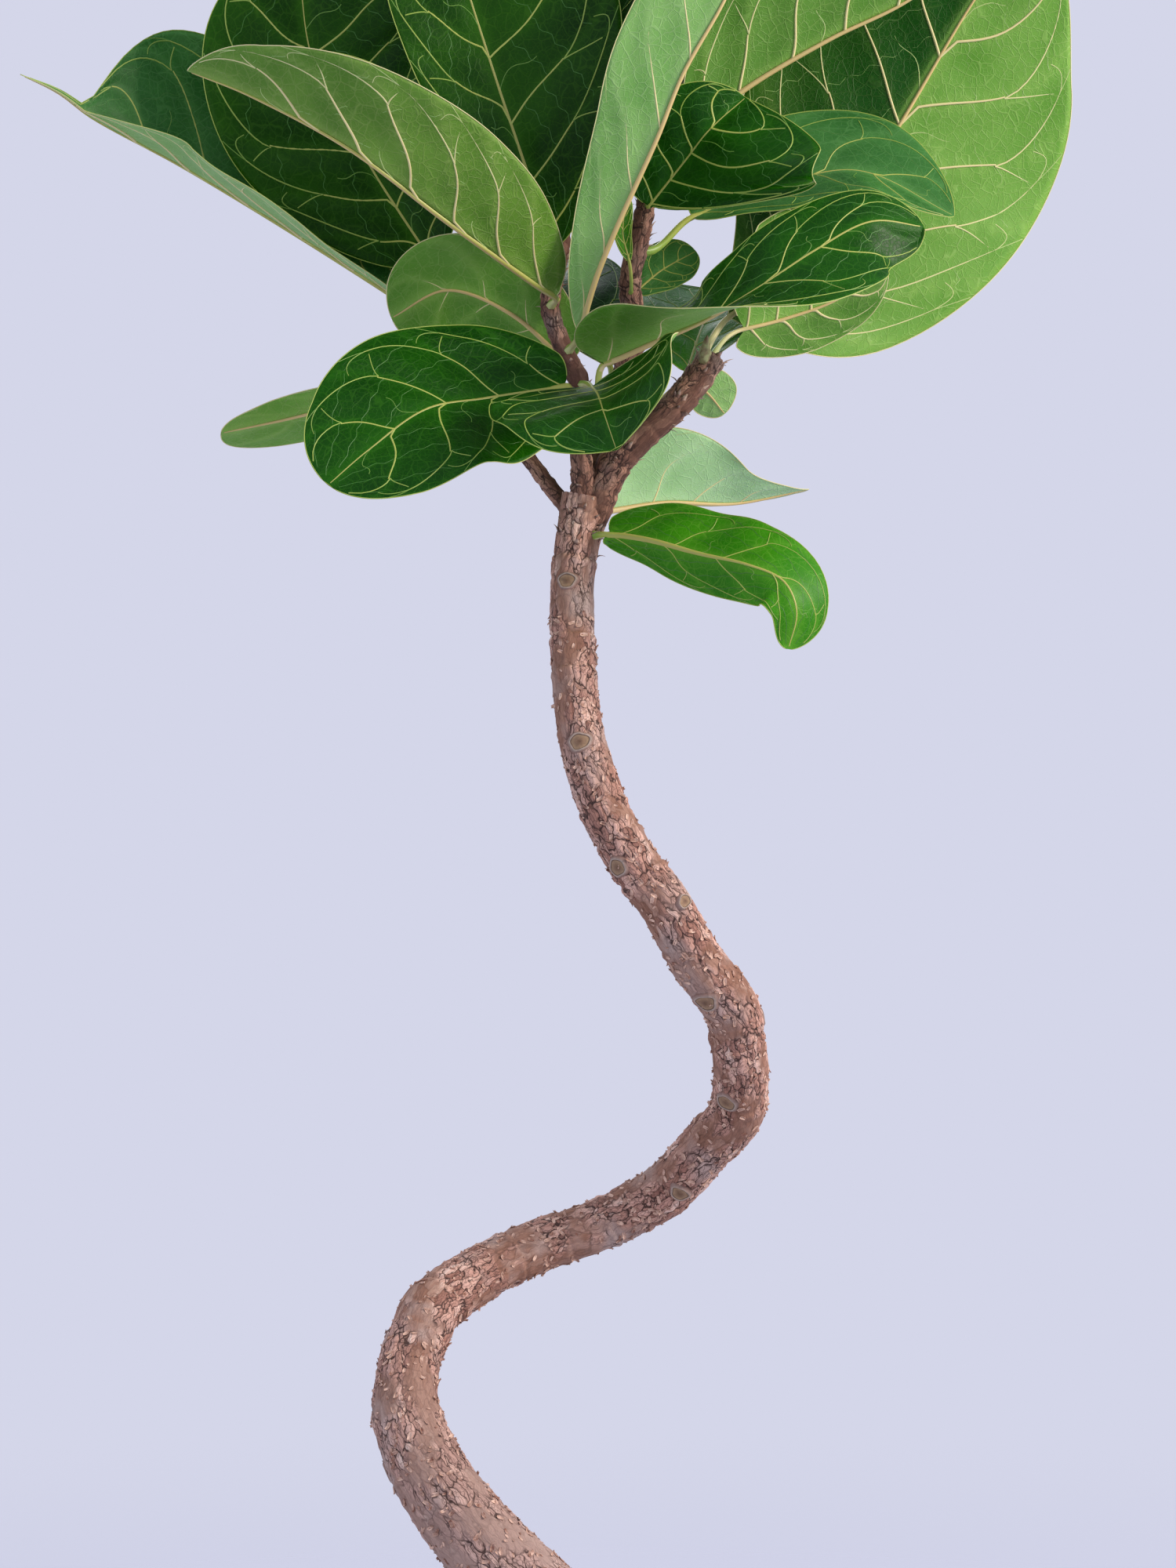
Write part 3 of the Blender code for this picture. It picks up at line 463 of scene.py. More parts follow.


def blade_material(name, deep, fresh, halo, net, roughness, net_strength, bump, **sockets):
    """Tissue: two greens that drift, a painted shade green on shadowed halves, a halo along the veins, and
    the net.
    """
    material, tree, shader = new_material(name, roughness, **sockets)
    sheet = add_node(tree, "ShaderNodeAttribute", attribute_name="sheet").outputs["Vector"]
    halo_here = add_node(tree, "ShaderNodeAttribute", attribute_name="halo").outputs["Fac"]
    drift = add_node(tree, "ShaderNodeTexNoise", {"Vector": sheet, "Scale": 1 / (45 * MM), "Detail": 3.0})
    greens = add_node(tree, "ShaderNodeValToRGB", {"Fac": drift.outputs["Fac"]})
    set_stops(greens, [(0.32, deep), (0.68, fresh)])
    # Painted shade: a deep green on the halves of blades that lie in shadow, which also dims their halo and
    # net
    painted_shade = add_node(tree, "ShaderNodeAttribute", attribute_name="painted_shade").outputs["Fac"]
    with_painted_shade = add_node(tree, "ShaderNodeMix", {
        "Factor": painted_shade, 6: greens.outputs["Color"], 7: colour(PAINTED_SHADE_GREEN)}, data_type="RGBA")
    pale = add_node(tree, "ShaderNodeMix", {
        "Factor": halo_here, 6: with_painted_shade.outputs[2], 7: colour(halo)}, data_type="RGBA")
    wander = add_node(tree, "ShaderNodeTexNoise", {"Vector": sheet, "Scale": 1 / (4 * MM), "Detail": 1.0})
    moved = add_node(tree, "ShaderNodeMix", {
        "Factor": 0.0012, 4: sheet, 5: wander.outputs["Color"]}, data_type="VECTOR")
    cells = add_node(tree, "ShaderNodeTexVoronoi", {
        "Vector": moved.outputs[1], "Scale": 1 / NET_CELL}, feature="DISTANCE_TO_EDGE")
    large = add_node(tree, "ShaderNodeTexVoronoi", {
        "Vector": moved.outputs[1], "Scale": 0.4 / NET_CELL}, feature="DISTANCE_TO_EDGE")
    fine_line = add_node(tree, "ShaderNodeMapRange", {
        "Value": cells.outputs["Distance"], "From Min": 0.0, "From Max": NET_LINE, "To Min": 0.55,
        "To Max": 0.0}, interpolation_type="SMOOTHSTEP")
    large_line = add_node(tree, "ShaderNodeMapRange", {
        "Value": large.outputs["Distance"], "From Min": 0.0, "From Max": NET_LINE * 0.6, "To Min": 1.0,
        "To Max": 0.0}, interpolation_type="SMOOTHSTEP")
    line = add_node(tree, "ShaderNodeMath", {
        0: fine_line.outputs[0], 1: large_line.outputs[0]}, operation="MAXIMUM")
    # The net's colour fades where shade is painted
    faded = {0: painted_shade, 1: -PAINTED_SHADE_HIDES * net_strength, 2: net_strength}
    strength = add_node(tree, "ShaderNodeMath", faded, operation="MULTIPLY_ADD").outputs[0]
    share = add_node(tree, "ShaderNodeMath", {0: line.outputs[0], 1: strength}, operation="MULTIPLY")
    skin = add_node(tree, "ShaderNodeMix", {
        "Factor": share.outputs[0], 6: pale.outputs[2], 7: colour(net)}, data_type="RGBA")
    tree.links.new(skin.outputs[2], shader.inputs["Base Color"])
    relief = add_node(tree, "ShaderNodeBump", {
        "Height": line.outputs[0], "Strength": abs(bump), "Distance": 0.3 * MM}, invert=bump < 0)
    tree.links.new(relief.outputs["Normal"], shader.inputs["Normal"])
    return material


print("veinlets", round(NET_CELL / MM, 1), "mm apart")

# %% [markdown]
# Leaves of one plant differ: a young blade is thin and yellow green, a full grown one thick and deep
# green, and a lower side has no wax, so it is pale and matt with the net standing up from it. One shared
# green would look like plastic, so there are four looks for each side. A little light passes through the
# tissue of all of them.

# %% Blade materials
# Living tissue glows a little, dusty wax hardly shines, and a bare lower side shines a little more evenly
LIGHT_THROUGH = dict(Subsurface_Weight=0.12, Subsurface_Scale=0.0015, Subsurface_Radius=(0.6, 1.0, 0.2))
WAX = dict(LIGHT_THROUGH, Specular_IOR_Level=0.10, Coat_Weight=0.03, Coat_Roughness=0.28)
MATT = dict(LIGHT_THROUGH, Specular_IOR_Level=0.20)
UPPER = {
    # Full grown tissue under a thin wax: deep green, with a faint sheen
    "deep": blade_material(
        "leaf_upper_mature", "#073600", "#124a00", "#205c06", "#387418", 0.38, 0.30, -0.4, **WAX),
    # Tissue of the newest leaves: fresh yellow green, brighter as it is still thin
    "bright": blade_material(
        "leaf_upper_fresh", "#226a08", "#3a860c", "#559424", "#68a034", 0.42, 0.34, -0.4, **WAX),
    # Old tissue: an olive green, with a net that hardly shows
    "warm": blade_material(
        "leaf_upper_warm", "#0c3400", "#1c4c00", "#2c5e08", "#42741a", 0.42, 0.28, -0.4, **WAX),
    # Tissue with a bloom of wax: a blue, milky green
    "cool": blade_material(
        "leaf_upper_blue", "#265a22", "#407838", "#528644", "#5c9050", 0.42, 0.34, -0.4, **WAX),
}
UNDER = {
    # The usual lower side: pale, matt, with a raised net
    "pale": blade_material(
        "leaf_under", "#568c2a", "#6e9e40", "#86ae52", "#98b866", 0.52, 0.30, 0.7, **MATT),
    # A lower side with a bloom of wax: paler and bluer
    "blue": blade_material(
        "leaf_under_blue", "#669a4a", "#82b062", "#92ba72", "#a2c486", 0.52, 0.30, 0.7, **MATT),
    # A lower side gone leathery with age: olive
    "tan": blade_material(
        "leaf_under_warm", "#507a24", "#6a9436", "#82a04c", "#94aa60", 0.52, 0.30, 0.7, **MATT),
    # The youngest lower side: thin and milky, its net hardly formed
    "haze": blade_material(
        "leaf_under_young", "#84b078", "#9cc490", "#a8cc9c", "#b0d0a6", 0.52, 0.20, 0.7, **MATT),
}
print("blade materials:", len(UPPER) + len(UNDER))

# %% [markdown]
# A vein is a bundle of woody tubes under a thin skin. It is yellow green on the upper side and cream to
# tan on the lower side, and the thick midrib is the driest and brownest. A material for each size of vein
# would do, but the colour really fades as a vein thins out, so one ramp reads an attribute, stoutness,
# that says how thick it is.

# %% Vein materials
def vein_material(name, stops, roughness):
    """Woody tissue under a thin skin: matt, and lighter and drier the stouter the vein is."""
    material, tree, shader = new_material(name, roughness, Subsurface_Weight=0.1, Subsurface_Scale=0.001)
    stout = add_node(tree, "ShaderNodeAttribute", attribute_name="stoutness").outputs["Fac"]
    ramp = add_node(tree, "ShaderNodeValToRGB", {"Fac": stout})
    set_stops(ramp, stops)
    tree.links.new(ramp.outputs["Color"], shader.inputs["Base Color"])
    return material


YELLOW_GREENS = [
    (0.0, "#2f6c1c"), (0.2, "#5f8c30"), (0.5, "#8faa46"), (0.66, "#a9b454"), (1.0, "#aaaa54")]
CREAMS = [(0.0, "#86ab5c"), (0.25, "#aabf74"), (0.6, "#d4cd94"), (1.0, "#c4ae72")]
VEIN_UPPER = vein_material("leaf_vein_upper", YELLOW_GREENS, 0.42)
VEIN_UNDER = vein_material("leaf_vein_under", CREAMS, 0.5)
print("vein materials made")

# %% [markdown]
# ## Leaf shape
#
# A blade is folded along its midrib like a sheet of card and curled towards its margins. It could be
# modelled by hand, but there are 34 of them. The surface is worked out from the midrib line instead, so
# that one rule gives the tissue, the veins that run in it and the edge. First come the small tools that
# the rule needs.

# %% Smooth lines and steps
def unit(v):
    """Vectors of the same direction, one metre long."""
    return v / np.linalg.norm(v, axis=-1, keepdims=True)


def curve(points, t):
    """A smooth line through all the points, at an array t that goes from 0 to 1 by distance."""
    p = np.array(points, float)
    t = np.clip(np.atleast_1d(t), 0, 1)
    gaps = np.linalg.norm(np.diff(p[:, :3], axis=0), axis=1)
    knots = np.concatenate([[0], np.cumsum(gaps)]) / gaps.sum()
    i = np.clip(np.searchsorted(knots, t) - 1, 0, len(p) - 2)
    span = (knots[i + 1] - knots[i])[:, None]
    u = ((t - knots[i])[:, None]) / span
    before = np.maximum(np.arange(len(p)) - 1, 0)
    after = np.minimum(np.arange(len(p)) + 1, len(p) - 1)
    slope = (p[after] - p[before]) / (knots[after] - knots[before])[:, None]
    return (
        (2 * u**3 - 3 * u**2 + 1) * p[i]
        + (u**3 - 2 * u**2 + u) * slope[i] * span
        + (3 * u**2 - 2 * u**3) * p[i + 1]
        + (u**3 - u**2) * slope[i + 1] * span
    )


def smooth_step(x):
    """From 0 to 1 while x goes from 0 to 1, easing in and out."""
    x = np.clip(x, 0, 1)
    return x * x * (3 - 2 * x)


print("half of a smooth step:", float(smooth_step(0.5)))

# %% [markdown]
# Two numbers name a spot on a blade: t runs from 0 at the stalk to 1 at the tip, and v from -1 at one
# margin through 0 at the midrib to 1 at the other margin. The outline is a power curve, which is fuller
# near the tip, as a fiddle is.

# %% The outline and the axes of a blade
EAR = 0.008  # how far the lobes at the base reach back, where the leaf does not say
PETIOLE = 2.1 * MM  # radius of a stalk where it meets its blade
TAIL_WIDTH = 0.24  # width of a drawn-out tail, as a share of the blade's


def leaf_axes(leaf, t):
    """The midrib's points, its direction, the way the upper side faces and the way across."""
    line = np.array(leaf["midrib"], float) + [0, 0, SOIL_TOP]
    here = curve(line, t)
    along = unit(curve(line, np.minimum(t + 0.002, 1)) - curve(line, np.maximum(t - 0.002, 0)))
    faces = np.array(leaf["face"], float)
    x = t * (len(faces) - 1)
    i = np.clip(x.astype(int), 0, max(len(faces) - 2, 0))
    u = smooth_step(x - i)[:, None]
    normal = faces[i] * (1 - u) + faces[np.minimum(i + 1, len(faces) - 1)] * u
    normal = unit(normal - along * np.sum(along * normal, axis=1, keepdims=True))
    return here, along, normal, np.cross(along, normal)


def outline(t, p, q, tail):
    """The width along a blade as a share of its widest, with a narrow tail where there is one."""
    top = p / (p + q)
    u = np.minimum(t / (1 - tail), 1.0)
    ends = TAIL_WIDTH * t * np.clip(1 - t, 0, 1) ** 0.6 if tail else 0
    return u**p * (1 - u) ** q / (top**p * (1 - top) ** q) + ends


def half_width(leaf, t, v):
    """How far the margin is from the midrib, on the side that v is on."""
    half, p, q = (np.where(v >= 0, a, b) for a, b in zip(leaf["plus"][3:6], leaf["minus"][3:6]))
    return half * outline(t, p, q, leaf.get("tail", 0))


print("widest half blade", max(leaf["plus"][3] for leaf in LEAVES.values()), "m")

# %% [markdown]
# Laterals leave the midrib in turn and lean more towards the tip the further out they run. The real ones
# are never quite even, so a slow wave makes them drift. Their rank counts them from the base, and it is
# known everywhere on the blade, so that the tissue can bulge between the veins and be paler beside them.

# %% Where the lateral veins run
STAGGER = 0.03  # the laterals of one half leave the midrib this much further along than those of the other


def vein_lean(v):
    """How much of its full lean a vein has got v across the blade."""
    x = np.abs(v)
    return 0.82 * x + 0.18 * x**3


def vein_rank(leaf, t, v):
    """Which lateral vein passes here: 0 at the lowest one, 1 at the next, and between them in between."""
    x = np.abs(v)
    start, step, base, more = leaf["veins"]
    start = start + np.where(v >= 0, 0, STAGGER)
    bend = vein_lean(v)
    drift = leaf["drift"] * np.sin(6 * x + 15 * t + leaf["phase"] + (v < 0))
    return (t - drift - start - base * bend) / (step + more * bend)


def vein_place(leaf, rank, v):
    """The t of a vein of this rank where it is v across: the other way round from vein_rank."""
    x = np.abs(v)
    start, step, base, more = leaf["veins"]
    start = start + np.where(v >= 0, 0, STAGGER)
    bend = vein_lean(v)
    t = start + step * rank + (base + more * rank) * bend
    for _ in range(2):
        drift = leaf["drift"] * np.sin(6 * x + 15 * t + leaf["phase"] + (v < 0))
        t = start + step * rank + (base + more * rank) * bend + drift
    return t


print("lean half way out:", round(float(vein_lean(0.5)), 3))

# %% [markdown]
# The rule of the surface follows the folding of a real blade. Each half turns up by its fold, and the
# curl adds to that towards the margin. The tissue bulges like a pillow between the laterals, and the
# margin ripples. A narrow tail has no stiff halves, so it lies flat.

# %% The surface of a blade
HALF_BLADE = 0.25 * MM  # half the thickness of the tissue
FULL_FOLD = 0.009  # a half blade at least this wide folds fully


def blade(leaf, t, v, lift=0.0):
    """Points of the blade at arrays t and v, lifted off its middle, and the way it faces there."""
    here, along, normal, side = leaf_axes(leaf, t)
    plus = (*leaf["plus"], 0)[:7]
    minus = (*leaf["minus"], 0)[:7]
    fold, fold_tip, curl, _, p, q, sweep = (np.where(v >= 0, a, b) for a, b in zip(plus, minus))
    fold = np.radians(fold + (fold_tip - fold) * t * t * (3 - 2 * t))
    curl = np.radians(np.where(np.abs(curl) > 0.1, curl, 0.11))
    w = outline(t, p, q, leaf.get("tail", 0))
    h = np.maximum(half_width(leaf, t, v), PETIOLE * np.exp(-t / 0.04))
    fold = fold * smooth_step(h / FULL_FOLD)
    x = np.abs(v)
    sign = np.where(v >= 0, 1.0, -1.0)
    across = h * (np.sin(fold + curl * x) - np.sin(fold)) / curl
    up = h * (np.cos(fold) - np.cos(fold + curl * x)) / curl
    shift = (sweep * w - leaf.get("ear", EAR) * np.exp(-t / 0.10) * np.minimum(w / 0.4, 1)) * x * x
    turned = fold + curl * x
    off = -side * (sign * np.sin(turned))[:, None] + normal * np.cos(turned)[:, None]
    rank = vein_rank(leaf, t, v)
    pillow = np.abs(np.sin(np.pi * rank)) ** 1.6 * smooth_step(x / 0.22) * smooth_step((1.05 - x) / 0.3)
    wave = np.sin(leaf["waves"] * t + leaf["phase"] * 3 + 1.1 * (v < 0))
    ripple = x**2.5 * wave * smooth_step(t / 0.15)
    size = np.minimum(h / 0.06, 1.2)
    lift = lift + size * (leaf["pillow"] * pillow + leaf["ripple"] * ripple)
    point = here + side * (sign * across)[:, None] + normal * up[:, None] + along * shift[:, None]
    return point + off * np.broadcast_to(lift, t.shape)[:, None], off


print("a blade is", round(2 * HALF_BLADE / MM, 2), "mm thick")

# %% [markdown]
# Each leaf then gets what was not written down for it: its length, how many pairs of laterals that gives
# room for, where they start and end, and a few drawn numbers that make its waves its own.

# %% Finish the list of leaves
VEIN_SPACING = 0.046  # a young tree's laterals are about this far apart
FIRST_VEIN = 0.01  # where the lowest lateral leaves the midrib
LAST_VEIN = 0.68  # where the highest one does
FIRST_END = 0.22  # where the lowest would reach the margin
LAST_END = 0.95  # where the highest would

for leaf in LEAVES.values():
    line = curve(leaf["midrib"], np.linspace(0, 1, 60))
    leaf["length"] = float(np.linalg.norm(np.diff(line, axis=0), axis=1).sum())
    leaf["laterals"] = int(np.clip(round(leaf["length"] / VEIN_SPACING), 4, 6))
    steps = leaf["laterals"] - 1
    step = (LAST_VEIN - FIRST_VEIN) / steps
    leaf["veins"] = (FIRST_VEIN, step, FIRST_END - FIRST_VEIN, (LAST_END - FIRST_END) / steps - step)
    leaf["phase"] = float(RANDOM.uniform(0, 6))
    leaf["waves"] = float(RANDOM.uniform(14, 22))
    leaf["drift"] = 0.006
    leaf["pillow"] = 1.5 * MM
    leaf["ripple"] = 1.6 * MM
print("longest leaf", round(max(leaf["length"] for leaf in LEAVES.values()), 3), "m")

# %% [markdown]
# A stalk springs from the bark square to its branch and bends into the midrib. The spot on the bark could
# be found by a ray, but the bark is not there yet, and its axis and radius give the same spot.

# %% Where a stalk leaves its branch
def on_branch(name, height):
    """Point, direction and radius of a branch where its axis is at a height above the mix."""
    t = np.linspace(0, 0.999, 1500)
    line = curve(BRANCHES[name], t)
    k = int(np.argmin(np.abs(line[:, 2] - height))) if height != TIP else len(t) - 1
    ahead = unit(line[min(k + 2, len(t) - 1), :3] - line[max(k - 2, 0), :3])
    return line[k, :3] + [0, 0, SOIL_TOP], ahead, line[k, 3]


def leave_branch(name, height, towards):
    """Where a stalk comes out of the bark, and which way it first points."""
    here, ahead, radius = on_branch(name, height)
    if height == TIP:
        return here, ahead
    out = towards - here
    out = unit(out - ahead * np.dot(out, ahead))
    return here + out * radius, out


start, _ = leave_branch("centre", 0.9, np.array([0, -0.1, 1.1]))
print("a stalk leaves at", [round(c, 3) for c in start])

# %% [markdown]
# ## Veins
#
# A fiddle leaf has one stout midrib and four to seven pairs of laterals. Each lateral runs out, forks
# near the margin and bends to meet the next, so that a row of loops follows the edge. Thin rungs join
# neighbouring laterals. Here every vein is a line on the blade with a radius at each point, and one node
# tree sweeps a tube along all of them. The tubes are sunk so that they stand a little proud on both
# sides, as the real ones do. A bump would be cheaper, but it would not show at the edge of a leaf or on
# both sides of it.

# %% Vein lines
# Each kind of vein: radius where it starts and ends and rise above the tissue, in mm, and stoutness
VEIN_KINDS = {
    "lateral": (0.95, 0.58, 0.36, 0.66),
    "upper_arm": (0.56, 0.40, 0.30, 0.52),
    "lower_arm": (0.52, 0.38, 0.28, 0.48),
    "loop": (0.42, 0.36, 0.26, 0.34),
    "to_margin": (0.34, 0.32, 0.12, 0.24),
    "between": (0.42, 0.32, 0.13, 0.22),
    "rung": (0.30, 0.30, 0.10, 0.03),
}
RUNGS = (0.24, 0.46, 0.70)  # how far out the three rungs between two laterals are
RUNG_SLANT = 0.22  # how much nearer the midrib a rung ends than it starts
THINNEST = 0.30 * MM  # the finest real veinlets are thinner, but would not show


def vein_lines(leaf):
    """Every vein of a leaf as (t, v, radius, rise above the upper side, stoutness)."""
    lines = []
    n = leaf["laterals"]
    size = float(np.clip(leaf["plus"][3] / 0.07, 0.45, 1.1))

    def add(kind, rank, x, sign):
        """Adds a vein, less any part that would run off the blade."""
        thick, thin, rise, stout = VEIN_KINDS[kind]
        v = sign * x
        t = vein_place(leaf, rank, v)
        keep = (t > 0.004) & (t < 0.985)
        if keep.sum() < 3:
            return
        s = np.linspace(0, 1, len(t))
        radius = (thick + (thin - thick) * s) * size * MM
        lines.append(
            (t[keep], v[keep], np.maximum(radius, THINNEST)[keep], rise * MM, stout + 0 * t[keep]))

    for sign in (1, -1):
        for i in range(n):
            fork = 0.58 + 0.08 * math.sin(2.3 * i + leaf["phase"] + sign)
            x = np.linspace(0, fork, 14)
            add("lateral", i + 0.05 * np.sin(9 * x + i) * x, x, sign)
            s = np.linspace(0, 1, 11)
            add("upper_arm", i + 0.60 * s**1.2, fork + (0.90 - fork) * s**0.75, sign)
            add("lower_arm", i - 0.36 * s, fork + (0.85 - fork) * s**0.8, sign)
            add("loop", i + 0.60 + 0.46 * s, 0.90 - 0.10 * s + 0.05 * np.sin(np.pi * s), sign)
            add("to_margin", i + 0.60 + 0.16 * s, 0.90 + 0.09 * s, sign)
            if (i + (sign > 0)) % 2:
                add("between", i + 0.5 + 0.10 * np.sin(5 * s), 0.34 * s, sign)
        for i in range(-1, n):
            for k, out in enumerate(RUNGS):
                s = np.linspace(0, 1, 13)
                zigzag = 0.035 * (2 * np.abs((2.5 * s + 0.3 * k + 0.2 * i) % 1 - 0.5) - 0.5)
                wander = 0.05 * math.sin(7 * i + 5 * k + leaf["phase"])
                add("rung", i + s, out + wander + RUNG_SLANT * (0.5 - s) + zigzag, sign)
    return lines


print("veins in a large leaf:", len(vein_lines(LEAVES["leaf_left_broad"])))

# %% [markdown]
# The tree takes one mesh that holds the blade's faces and, as loose edges, all of its veins. It lifts the
# loose edges out, sweeps them and joins the tubes to the blade. A curve object for each vein could do the
# same, but a leaf has about a hundred of them. The part of a tube that faces the way the blade's upper
# side faces gets the upper vein's material, and the rest the lower one's.

# %% Node tree: sweep the veins
def new_tree(name, inputs):
    """An empty geometry tree with named inputs, given as name: socket type."""
    tree = bpy.data.node_groups.new(name, "GeometryNodeTree")
    tree.interface.new_socket("Geometry", in_out="INPUT", socket_type="NodeSocketGeometry")
    tree.interface.new_socket("Geometry", in_out="OUTPUT", socket_type="NodeSocketGeometry")
    for label, kind in inputs.items():
        tree.interface.new_socket(label, in_out="INPUT", socket_type=kind)
    return tree, add_node(tree, "NodeGroupInput")


def named(tree, name, data_type="FLOAT"):
    """The values of a named attribute, as a socket."""
    node = add_node(tree, "GeometryNodeInputNamedAttribute", {"Name": name}, data_type=data_type)
    return node.outputs["Attribute"]


sweep_tree, given = new_tree("sweep the veins", {
    "Sides": "NodeSocketInt", "Upper": "NodeSocketMaterial", "Under": "NodeSocketMaterial"})
is_vein = named(sweep_tree, "is_vein", "BOOLEAN")
lines = add_node(sweep_tree, "GeometryNodeMeshToCurve", {
    "Mesh": given.outputs["Geometry"], "Selection": is_vein})
ring = add_node(sweep_tree, "GeometryNodeCurvePrimitiveCircle", {
    "Resolution": given.outputs["Sides"], "Radius": 1.0})
tubes = add_node(sweep_tree, "GeometryNodeCurveToMesh", {
    "Curve": lines.outputs[0], "Profile Curve": ring.outputs[0], "Scale": named(sweep_tree, "radius"),
    "Fill Caps": True})
lower = add_node(sweep_tree, "GeometryNodeSetMaterial", {
    "Geometry": tubes.outputs[0], "Material": given.outputs["Under"]})
outward = add_node(sweep_tree, "GeometryNodeInputNormal")
facing = add_node(sweep_tree, "ShaderNodeVectorMath", {
    0: outward.outputs[0], 1: named(sweep_tree, "up", "FLOAT_VECTOR")}, operation="DOT_PRODUCT")
above = add_node(sweep_tree, "FunctionNodeCompare", {
    "A": facing.outputs["Value"], "B": 0.0}, operation="GREATER_THAN")
upper = add_node(sweep_tree, "GeometryNodeSetMaterial", {
    "Geometry": lower.outputs[0], "Selection": above.outputs[0], "Material": given.outputs["Upper"]})
tissue = add_node(sweep_tree, "GeometryNodeDeleteGeometry", {
    "Geometry": given.outputs["Geometry"], "Selection": is_vein})
both = add_node(sweep_tree, "GeometryNodeJoinGeometry")
sweep_tree.links.new(upper.outputs[0], both.inputs[0])
sweep_tree.links.new(tissue.outputs[0], both.inputs[0])
real = add_node(sweep_tree, "GeometryNodeRealizeInstances", {"Geometry": both.outputs[0]})
round_off = add_node(sweep_tree, "GeometryNodeSetShadeSmooth", {"Geometry": real.outputs[0]})
add_node(sweep_tree, "NodeGroupOutput", {0: round_off.outputs[0]})
print("sweep tree:", len(sweep_tree.nodes), "nodes")

# %% [markdown]
# A tree works on a mesh, and what it made has to become a plain mesh again before it is a finished piece.
# Applying the modifier with an operator would need the right selection and mode, so the evaluated mesh is
# copied instead.

# %% From data to finished pieces
def mesh_from(name, verts, edges, faces, attributes=(), materials=(), slots=None):
    """A smooth mesh object. Attributes are (name, type, values per vertex), slots a material per face."""
    mesh = bpy.data.meshes.new(name)
    mesh.from_pydata([tuple(v) for v in verts], edges, faces)
    mesh.update(calc_edges=True)
    for label, kind, values in attributes:
        layer = mesh.attributes.new(label, kind, "POINT")
        key = "vector" if kind == "FLOAT_VECTOR" else "value"
        layer.data.foreach_set(key, np.ascontiguousarray(values).ravel())
    for material in materials:
        mesh.materials.append(material)
    if slots is not None:
        mesh.polygons.foreach_set("material_index", slots)
    mesh.polygons.foreach_set("use_smooth", [True] * len(mesh.polygons))
    obj = bpy.data.objects.new(name, mesh)
    bpy.context.scene.collection.objects.link(obj)
    return obj


def grow(obj, tree, **values):
    """Runs a geometry tree on an object, once, and keeps the result as the object's plain mesh."""
    modifier = obj.modifiers.new(tree.name, "NODES")
    modifier.node_group = tree
    for item in tree.interface.items_tree:
        if item.in_out == "INPUT" and item.name in values:
            modifier[item.identifier] = values[item.name]
    graph = bpy.context.evaluated_depsgraph_get()
    mesh = bpy.data.meshes.new_from_object(
        obj.evaluated_get(graph), preserve_all_data_layers=True, depsgraph=graph)
    obj.modifiers.remove(modifier)
    old = obj.data
    obj.data = mesh
    bpy.data.meshes.remove(old)


def finish_piece(obj, node):
    """The piece rides on the plant's one body and stands for its CAD node."""
    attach(obj, "root")
    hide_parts(node)


print("helpers ready")

# %% [markdown]
# A stalk and its midrib are one cord, thick and green at the branch and thin and dry at the tip of the
# leaf. They could be two tubes, but then a joint would show, so they are one line. The stalk is a Bezier
# curve that starts a little inside the bark, so that no gap shows, and the midrib follows the blade,
# settling into it at the base.

# %% The line of a stalk and its midrib
WIDEST_STALK = 2.5 * MM
ROOTED = 3 * MM  # how deep in the bark a stalk starts
TIP_RIB = 0.4 * MM  # radius of a midrib at the tip of its leaf


def stalk_path(leaf):
    """The stalk and the midrib as one line: points, radius, the way up and stoutness."""
    here, along, normal, _ = leaf_axes(leaf, np.array([0.0]))
    base = here[0]
    start, out = leave_branch(leaf["branch"], leaf["height"], base)
    reach = np.linalg.norm(base - start)
    size = float(np.clip(leaf["length"] / 0.15, 0.5, 1.0))
    u = np.linspace(0, 1, 12)[:-1, None]
    root = start - out * ROOTED
    leaving = start + out * 0.35 * reach
    arriving = base - along[0] * 0.35 * reach
    stalk = (1 - u) ** 3 * root + 3 * u * (1 - u) ** 2 * leaving
    stalk = stalk + 3 * u * u * (1 - u) * arriving + u**3 * base
    swell = 1 + 0.35 * np.exp(-((u[:, 0] - 0.12) / 0.12) ** 2)
    stalk_radius = (WIDEST_STALK + (PETIOLE - WIDEST_STALK) * u[:, 0]) * swell * size
    t = 1 - (1 - np.linspace(0, 1, 44)) ** 1.2
    t = t[t < 0.99]
    points, up = blade(leaf, t, 0 * t)
    radius = (PETIOLE * size - TIP_RIB) * (1 - t) ** 0.8 + TIP_RIB
    rise = (0.45 * (1 - t) + 0.15) * MM
    settle = smooth_step(t / 0.05)
    points = points - up * ((radius - HALF_BLADE - rise) * settle)[:, None]
    line = np.concatenate([stalk, points])
    ups = np.concatenate([np.repeat(normal, len(stalk), 0), up])
    ripe = np.concatenate([0.30 + 0.5 * u[:, 0], smooth_step(t / 0.1) * 0.2 + 0.8])
    return line, np.concatenate([stalk_radius, radius]), ups, ripe


print("a stalk is up to", round(2 * WIDEST_STALK / MM, 1), "mm thick")

# %% [markdown]
# The blade itself is two fine sheets, half a millimetre apart, closed along the margin. A single sheet
# with a Solidify modifier would come close, but the tissue really thins to its edge. The stations crowd
# towards the base and the tip, where the outline turns fastest.

# %% The two sheets of a blade
ALONG = 76
ACROSS = 40
WIDE = ACROSS + 1
SHEET = ALONG * WIDE  # corners of the upper sheet; the lower one's follow, and then the tip


